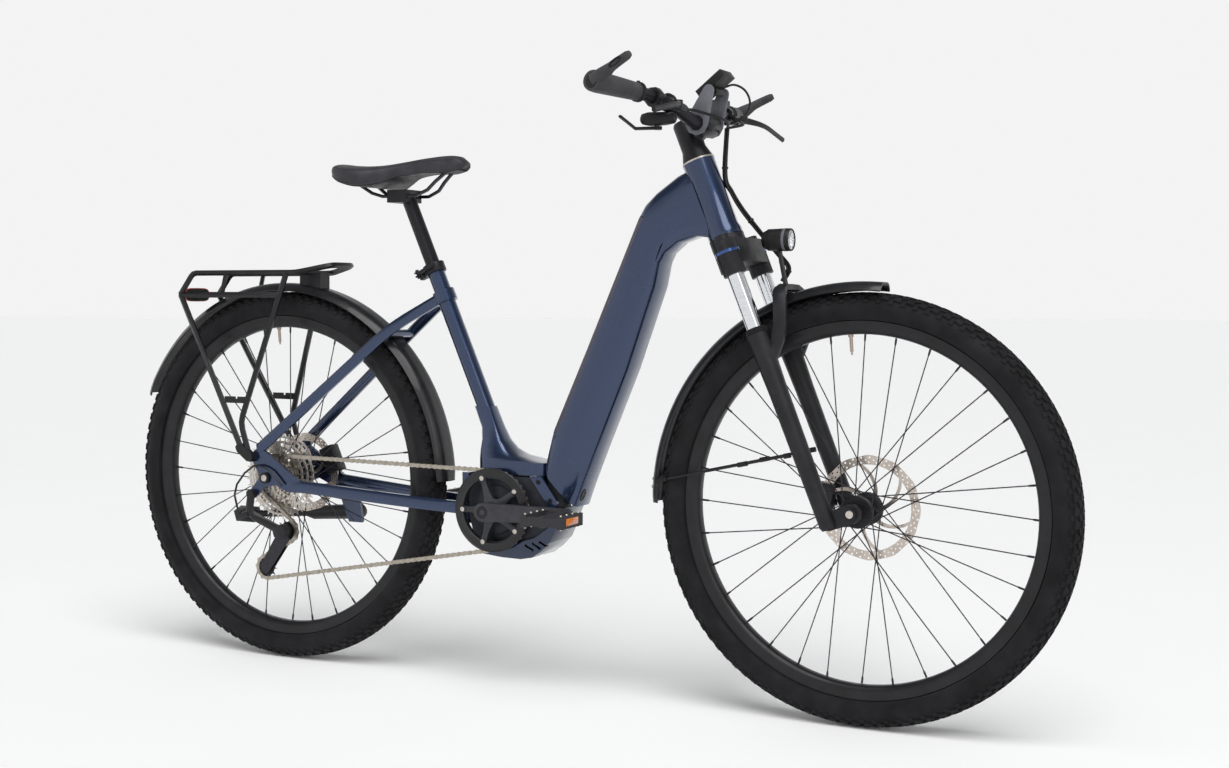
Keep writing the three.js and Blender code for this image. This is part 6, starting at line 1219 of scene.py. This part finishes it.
def head_light():
    lamp = Form().turned(LAMP_SHELL, LAMP_START, AHEAD)
    for k in range(LAMP_RIBS):
        rim = 18.6 + 0.12 * k
        rib = [(14, 0), (rim, 0), (rim, 1.2), (14, 1.2)]
        lamp.ring(rib, LAMP_START + AHEAD * (10 + 3.2 * k) * MM, AHEAD, 40)
    bend = LAMP_FOOT + (LAMP_CENTRE - LAMP_FOOT) * 0.5
    stay = [LAMP_FOOT, bend, LAMP_CENTRE]
    for side in (-1, 1):
        lamp.tube(smooth_path([p + ACROSS * side * LAMP_STAY_SPREAD * MM for p in stay], 5), 1.7 * MM, 8)
    lamp.tube(smooth_path(stay, 5), 2.2 * MM, 12, 4.0, ACROSS)
    lamp.bolt(bend - AHEAD * 2 * MM, -AHEAD, 3 * MM, 2 * MM)
    lamp.piece("head_light_shell", BLACK_PLASTIC, "fork", ["head_light"], slot="lamp")
    band = Form().ring([(19.55, 38.5), (19.75, 39), (19.75, 43), (19.55, 43.5)], LAMP_START, AHEAD)
    band.piece("head_light_band", BRACKET_GREY, "fork")
    Form().turned(LAMP_BOWL, LAMP_START, AHEAD).piece("head_light_bowl", SILVER_BOWL, "fork")
    Form().turned(LAMP_LENS, LAMP_START, AHEAD).piece("head_light_lens", CLEAR_LENS, "fork")


def tail_light():
    low, high = (Vector(corner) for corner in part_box("tail_light"))
    middle = (low + high) / 2
    half = (high - low) / 2
    back, lens = Form(), Form()
    for form, near, far, shrink, taper in ((back, 0, 0.12, 0.9, 0), (lens, 0.06, 0.99, 1.0, 0.14)):
        rings = []
        for share in (0, 0.5, 0.8, 1):
            x = high.x - half.x * 2 * (near + (far - near) * share)
            size = shrink * (1 - 0.1 * share**3 - taper * share**4)
            rings.append(squared_ring(x, 0, middle.z, half.y * size, half.z * size, 0.45))
        form.loft(rings)
    back.piece("tail_light_base", BLACK_PLASTIC, "frame", ["tail_light"], slot="red_lens")
    lens.piece("tail_light_lens", RED_LENS, "frame", slot="red_lens")


head_light()
tail_light()


# Cockpit. The bar's route runs outwards from its centre, in millimetres ahead, across and up
BAR_CENTRE = on_steer(0.718, 34 * MM)
BAR_ROUTE = [(0, 34, 0), (-4, 62, 6), (-18, 110, 28), (-33, 180, 37), (-65, 294, 46)]
GRIP_INNER = 186
GRIP_OUTER = 294
# Share of the grip's length, spread of the palm rest and radius of the core in millimetres
GRIP_ROWS = [
    (0, 0, 14.6), (0.02, 0, 15.5), (0.05, 0, 15.5), (0.07, 0, 14.9), (0.2, 1.6, 15.4), (0.32, 2.8, 15.9),
    (0.45, 4.2, 16.3), (0.58, 6.2, 16.6), (0.7, 8.4, 16.8), (0.8, 9.6, 17), (0.84, 9, 17), (0.88, 2, 17.4),
    (0.97, 1.5, 17.4), (1, 1, 16.4),
]


def bar_point(offset, side):
    for near, far in zip(BAR_ROUTE, BAR_ROUTE[1:]):
        if offset <= far[1] or far is BAR_ROUTE[-1]:
            t = (offset - near[1]) / (far[1] - near[1])
            x, y, z = (a + (b - a) * t for a, b in zip(near, far))
            return BAR_CENTRE + Vector((x, side * y, z)) * MM


def grip(side, name):
    inner, tip = bar_point(GRIP_INNER, side), bar_point(GRIP_OUTER, side)
    course = (tip - inner).normalized()
    end = tip + course * 3.4 * MM
    length = (end - inner).length
    back = (AHEAD - course * AHEAD.dot(course)).normalized()
    up = back.cross(course) if back.cross(course).z > 0 else course.cross(back)
    rings = []
    for share, spread, radius in GRIP_ROWS:
        point = inner + course * length * share
        ring = []
        for k in range(32):
            out, lift = math.cos(TAU * k / 32), math.sin(TAU * k / 32)
            wing = spread * 2 if out < 0 else 0
            height = radius * (1 - 0.28 * min(1, spread / 9.6) * max(0, -out) ** 2)
            ring.append(point + back * (out * (radius + wing)) * MM + up * lift * height * MM)
        rings.append(ring)
    form = Form().loft(rings)
    way = Vector((math.cos(math.radians(30)), side * 0.2, 0.5)).normalized()
    start = inner + course * length * 0.93
    horn = [start, start + way * 24 * MM, start + way * 46 * MM, start + way * 83 * MM - UPRIGHT * 3.6 * MM]
    path = smooth_path(horn, 6)
    shares = [i / (len(path) - 1) for i in range(len(path))]
    sizes = [MM * (15 - 6.4 * min(1, share * 1.7) - 1.6 * share**3) for share in shares]
    sizes[-1] = 5.2 * MM
    form.tube(path, sizes, 16, 0.86, ACROSS)
    form.piece(name + "_grip_moulded", GRIP, "steering", [name + "_grip"], angle=50, slot="grip_rubber")
    clamp = [(15.2, 0.4), (16.5, 0.8), (16.9, 2), (16.9, 7), (16.5, 8), (15.2, 8.4)]
    cap = [(0, 0.9), (8, 0.9), (12.4, 0.5), (13.2, -0.5), (0, -0.5)]
    ends = Form().ring(clamp, inner - course * 0.2 * MM, course, 32).turned(cap, end, course, 32)
    ends.bolt(inner + course * 4.5 * MM + up * 16 * MM, up, 3 * MM, 2.4 * MM)
    ends.piece(name + "_grip_ring", ANODISED, "steering")
    oval = Form()
    for lift in (8.2, 9.6):
        centre = start + way * 52 * MM + ACROSS * side * lift * 0.86 * MM
        points = circle(1, 20)
        ring = [centre + way * 13 * MM * a + way.cross(ACROSS) * 4 * MM * b for a, b in points]
        oval.tube([*ring, ring[0]], 0.9 * MM, 6)
    oval.piece(name + "_grip_oval", BLACK_PLASTIC, "steering")


# Lengths along the steering axis, ahead of it and to the side, in millimetres
BUNDLE_ROUTE = [
    (698, 67, 12), (624, 32.9, 12), (592.5, 32.9, 12), (554, 40, 16), (501, 56, 24), (460, 69, 29),
    (432, 76, 30), (415, 58, 30),
]
STRAND_OFFSET = 2.7 * MM
STRAND_RADIUS = 2.3 * MM
STRAND_TWIST = 0.06
HOSE_RADIUS = 2.5 * MM
# Where the brake's clamp starts and ends across the bar, in millimetres
BRAKE_CLAMP = (148, 161)
BRAKE_TANK = Vector((31, 0, -12)) * MM
BRAKE_TANK_LENGTH = 38.4 * MM
# The display's lead in millimetres of the shared frame
DISPLAY_LEAD = [
    (333, 24, 1088), (345, 40, 1094), (357, 58, 1087), (364, 66, 1070), (362, 66, 1052), (352, 60, 1038),
    (338, 56, 1030), (322, 52, 1027),
]


def control_cables():
    """Hoses from both brakes and the shift housing meet ahead of the stem and run down to the fork."""
    route = [on_steer(*(size * MM for size in row)) for row in BUNDLE_ROUTE]
    gather = route[0]
    course = smooth_path(route, 10)
    bundle = Form()
    for strand in range(3):
        path = []
        for i, point in enumerate(course):
            way = course_at(course, i)
            side = (ACROSS - way * ACROSS.dot(way)).normalized()
            angle = TAU * strand / 3 + i * STRAND_TWIST
            path.append(point + (side * math.cos(angle) + way.cross(side) * math.sin(angle)) * STRAND_OFFSET)
        bundle.tube(path, STRAND_RADIUS, 10)
    for i in (8, 34, 62):
        bundle.ring([(5, -1.6), (5.8, -1.6), (5.8, 1.6), (5, 1.6)], course[i], course_at(course, i), 20)
    bend = ("fork", on_steer(0.54), on_steer(0.425))
    bundle.piece("cable_bundle", CABLE_SKIN, "steering", ["control_cables"], slot="cable", bend=bend)
    hoses = Form()
    nut = [(0, 0), (4.4, 0), (4.4, 5), (3.4, 6.4), (3.2, 10), (0, 10)]
    for side in (-1, 1):
        base, beyond = (bar_point(offset, side) for offset in BRAKE_CLAMP)
        way = (beyond - base).normalized()
        inboard = base + BRAKE_TANK - way * BRAKE_TANK_LENGTH
        out = inboard - way * 20 * MM + AHEAD * 10 * MM
        loop = out.lerp(gather, 0.6) + AHEAD * 20 * MM
        hose = [inboard + way * MM, inboard - way * 5.5 * MM, out, loop, gather]
        hoses.tube(smooth_path(hose, 8), HOSE_RADIUS, 10).turned(nut, inboard, -way, 16)
    hoses.piece("brake_hoses", CABLE_SKIN, "steering", slot="cable")


HEADSET_ALONG = 0.6625
STEM_TOP_ALONG = 0.7388
DISPLAY_LEAN = math.radians(38)
DISPLAY_FACE = 6.9 * MM
GLASS_SIZES = (47 * MM, 41 * MM, 1.2 * MM)
KEY_SIZES = (6.4 * MM, 9 * MM, 1.6 * MM)
KEY_PITCH = 9 * MM
# Across the bar, in millimetres
KEYPAD_OFFSET = 141
KEYPAD_LIFT = Vector((-6 * MM, -10 * MM, 24.4 * MM))
CLAMP_BOLTS = Vector((18 * MM, 19 * MM, 12 * MM))


def cockpit_details():
    top = [(28.6, 0), (29.1, 0.5), (29.1, 2.7), (28.6, 3.2), (20, 3.2), (20, 0)]
    Form().ring(top, on_steer(HEADSET_ALONG), STEER_UP).piece("headset_ring", STEEL, "steering")
    long = heading(DISPLAY_LEAN)
    low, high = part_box("display")
    face = (Vector(low) + Vector(high)) / 2 + Vector((-long.z, 0, long.x)) * DISPLAY_FACE
    glass = Form().block(face, long, ACROSS, GLASS_SIZES, 0.4 * MM)
    glass.piece("display_glass", SCREEN, "display_body")
    keys = Form()
    keypad = bar_point(KEYPAD_OFFSET, 1) + KEYPAD_LIFT
    for k in (-1, 0, 1):
        keys.block(keypad + AHEAD * k * KEY_PITCH, AHEAD, ACROSS, KEY_SIZES, 0.6 * MM)
    keys.piece("keypad_buttons", BRACKET_GREY, "steering")
    lead = Form().tube(smooth_path([Vector(p) * MM for p in DISPLAY_LEAD], 6), 2 * MM, 10)
    lead.piece("display_lead", CABLE_SKIN, "steering")
    bolts = Form()
    for side in (-1, 1):
        for lift in (-1, 1):
            place = BAR_CENTRE + CLAMP_BOLTS * Vector((1, side, lift))
            bolts.bolt(place, AHEAD, 3.2 * MM, 3 * MM)
    bolts.bolt(on_steer(STEM_TOP_ALONG), STEER_UP, 5 * MM, 2.5 * MM)
    bolts.piece("stem_bolts", DARK_STEEL, "steering")


for side, name in SIDES:
    grip(side, name)
control_cables()
cockpit_details()


# Fork and frame details
CROWN_TOP_ALONG = 0.505
CROWN_RING_DROP = 21 * MM
SEAL_ALONG = 0.3362
# In millimetres: outline, middle, half-thickness rows with their shares, and bolts
MOTOR_BRACKET = [(-22, 395), (3, 397), (36, 352), (34, 333), (12, 350), (-6, 374)]
MOTOR_BRACKET_MIDDLE = Vector((9, 0, 367))
MOTOR_BRACKET_ROWS = ((34, 1), (40.2, 1), (41, 0.94))
MOTOR_BRACKET_BOLTS = ((-2, 386), (23, 353))
PORT_PIXEL = (583, 495)
PORT_COURSE = Vector((0.46, 0, 0.888))
PORT_HALF_LENGTH = 12 * MM
PORT_HALF_WIDTH = 8 * MM
PORT_RINGS = ((-2, 1), (0.9, 1), (1.5, 0.93), (1.5, 0.8), (1.1, 0.74), (1.1, 0.05))
# The shifter in millimetres: its housing's place across and up, half width and half height, its bolt, its
# clamp across the bar, and rows of the length ahead with shares of width and height
SHIFTER_PLACE = (-113, 1023.5)
SHIFTER_HALF_WIDTH = 15.5
SHIFTER_HALF_HEIGHT = 11.5
SHIFTER_BOLT = Vector((300, -113, 1028))
SHIFTER_CLAMP = (106, 118)
SHIFTER_ROWS = [
    (241, 0.5, 0.45), (245, 0.82, 0.8), (256, 1, 1), (284, 1, 0.95), (298, 0.86, 0.76), (303, 0.5, 0.4),
]


def fork_details():
    seals, knobs, rings = Form(), Form(), Form()
    seal = [(15.2, 0), (18.8, 0), (19.2, 1.5), (19.2, 4), (17.6, 6.2), (17.2, 9.4), (15.6, 10.4), (15.2, 10)]
    knob = [(0, 9.9), (12.2, 9.9), (13.4, 8.9), (13.6, 0.2), (0, 0.2)]
    ring = [(20.4, -2.8), (21.2, -2.6), (21.4, 0), (21.2, 2.6), (20.4, 2.8)]
    for side in (-1, 1):
        top = on_steer(CROWN_TOP_ALONG, LEG_OFFSET, side * LEG_SPREAD)
        seals.ring(seal, on_steer(SEAL_ALONG, LEG_OFFSET, side * LEG_SPREAD), STEER_UP, 40)
        knobs.turned(knob, top, STEER_UP, 40)
        rings.ring(ring, top - STEER_UP * CROWN_RING_DROP, STEER_UP)
    seals.piece("fork_seals", TYRE, "fork")
    knobs.piece("crown_caps", BLACK_COAT, "steering")
    rings.piece("crown_rings", painted("ring_blue", "203f78", "2f589a"), "steering")
    for name, body in (("front_axle", "fork"), ("rear_axle", "frame")):
        nuts = Form()
        low, high = (Vector(corner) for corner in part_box(name))
        middle = (low + high) / 2
        for side, y in ((-1, low.y), (1, high.y)):
            nuts.bolt(Vector((middle.x, y - side * 0.4 * MM, middle.z)), ACROSS * side, 6.6 * MM, 1.8 * MM)
        nuts.piece(name + "_bolts", STEEL, body)


def motor_bracket():
    bracket, bolts = Form(), Form()
    middle = MOTOR_BRACKET_MIDDLE
    for side in (-1, 1):
        rings = []
        for y, share in MOTOR_BRACKET_ROWS:
            points = [middle + (Vector((x, 0, z)) - middle) * share for x, z in MOTOR_BRACKET]
            rings.append([(p + ACROSS * side * y) * MM for p in points])
        bracket.loft(rings)
        for x, z in MOTOR_BRACKET_BOLTS:
            bolts.bolt(Vector((x, side * 40.6, z)) * MM, ACROSS * side, 4.6 * MM, 2.2 * MM)
    bracket.piece("motor_bracket", PAINT, "frame", slot="frame_paint")
    bolts.piece("motor_bolts", ANODISED, "frame")


def charge_port():
    """The cap on the down tube, where it is seen in the photograph."""
    place, normal = landed("down_tube", CAMERA_PLACE, photo_ray(*PORT_PIXEL))
    along = (PORT_COURSE - normal * PORT_COURSE.dot(normal)).normalized()
    aside = normal.cross(along)
    rings = []
    for height, size in PORT_RINGS:
        middle = place + normal * height * MM
        points = circle(size, 28)
        rings.append([middle + along * PORT_HALF_LENGTH * a + aside * PORT_HALF_WIDTH * b for a, b in points])
    Form().loft(rings).piece("charge_port_cap", BLACK_PLASTIC, "frame")


def shifter():
    rings = []
    for x, wide, high in SHIFTER_ROWS:
        half_y, half_z = SHIFTER_HALF_WIDTH * wide, SHIFTER_HALF_HEIGHT * high
        rings.append([p * MM for p in squared_ring(x, *SHIFTER_PLACE, half_y, half_z, 0.6)])
    form = Form().loft(rings)
    inner, outer = (bar_point(offset, -1) for offset in SHIFTER_CLAMP)
    clamp = [(11.4, 0), (15.4, 0.6), (15.8, 2), (15.8, 10), (15.4, 11.4), (11.4, 12)]
    form.ring(clamp, inner, outer - inner, 32)
    form.bolt(SHIFTER_BOLT * MM, AHEAD, 4 * MM, 3 * MM)
    form.piece("shifter_shell", BLACK_PLASTIC, "steering", ["shifter"], slot="black_plastic")


fork_details()
motor_bracket()
charge_port()
shifter()


# Floor and light
FLOOR_HALF = 60
FLOOR_DROP = 0.4 * MM
WORLD_BRIGHT = (0.897, 0.897, 0.897, 1)
WORLD_DARK = (0.16, 0.165, 0.17, 1)


def make_stage():
    mesh = bpy.data.meshes.new("floor")
    mesh.from_pydata([(x * FLOOR_HALF, y * FLOOR_HALF, 0) for x, y in CORNERS], [], [(0, 1, 2, 3)])
    finish = Finish("floor_paper")
    finish.tint(finish.noise(3, 2.0), "fbfbfb", "fcfcfc")
    finish.rough(finish.noise(4, 2.0), 0.85, 0.95)
    mesh.materials.append(finish.bump(finish.noise(60, 2.0), 0.0001, 0.1).material)
    ground = linked("floor", mesh)
    ground.location.z = -FLOOR_DROP


def make_world():
    """A studio that is bright all round at eye height and darker overhead."""
    world = bpy.data.worlds.new("studio")
    world.use_nodes = True
    tree = world.node_tree
    place = add_node(tree, "ShaderNodeTexCoord").outputs["Generated"]
    parts = add_node(tree, "ShaderNodeSeparateXYZ", {"Vector": place})
    ramp = add_node(tree, "ShaderNodeValToRGB", {"Fac": parts.outputs["Z"]})
    set_ramp(ramp, (0.34, 0.62), (WORLD_BRIGHT, WORLD_DARK))
    tree.links.new(ramp.outputs["Color"], tree.nodes["Background"].inputs["Color"])
    bpy.context.scene.world = world


def light(name, kind, way, power, **settings):
    """A lamp that shines along a direction."""
    data = bpy.data.lights.new(name, kind)
    data.energy = power
    for key, value in settings.items():
        setattr(data, key, value)
    lamp = linked(name, data)
    lamp.rotation_euler = Vector(way).to_track_quat("-Z", "Y").to_euler()
    return lamp


def softbox(name, place, target, width, height, power):
    way = Vector(target) - Vector(place)
    light(name, "AREA", way, power, shape="RECTANGLE", size=width, size_y=height).location = place


make_stage()
make_world()
light("soft_key", "SUN", (-0.35, 0.5, -1.0), 2.15, angle=math.radians(50))
softbox("top_softbox", (0.3, -0.9, 3.0), (0, 0, 0.4), 2.6, 0.7, 8)
softbox("front_softbox", (2.8, -2.2, 1.7), (0.2, 0, 0.5), 0.8, 2.0, 9)
bpy.context.scene.view_settings.view_transform = "Standard"
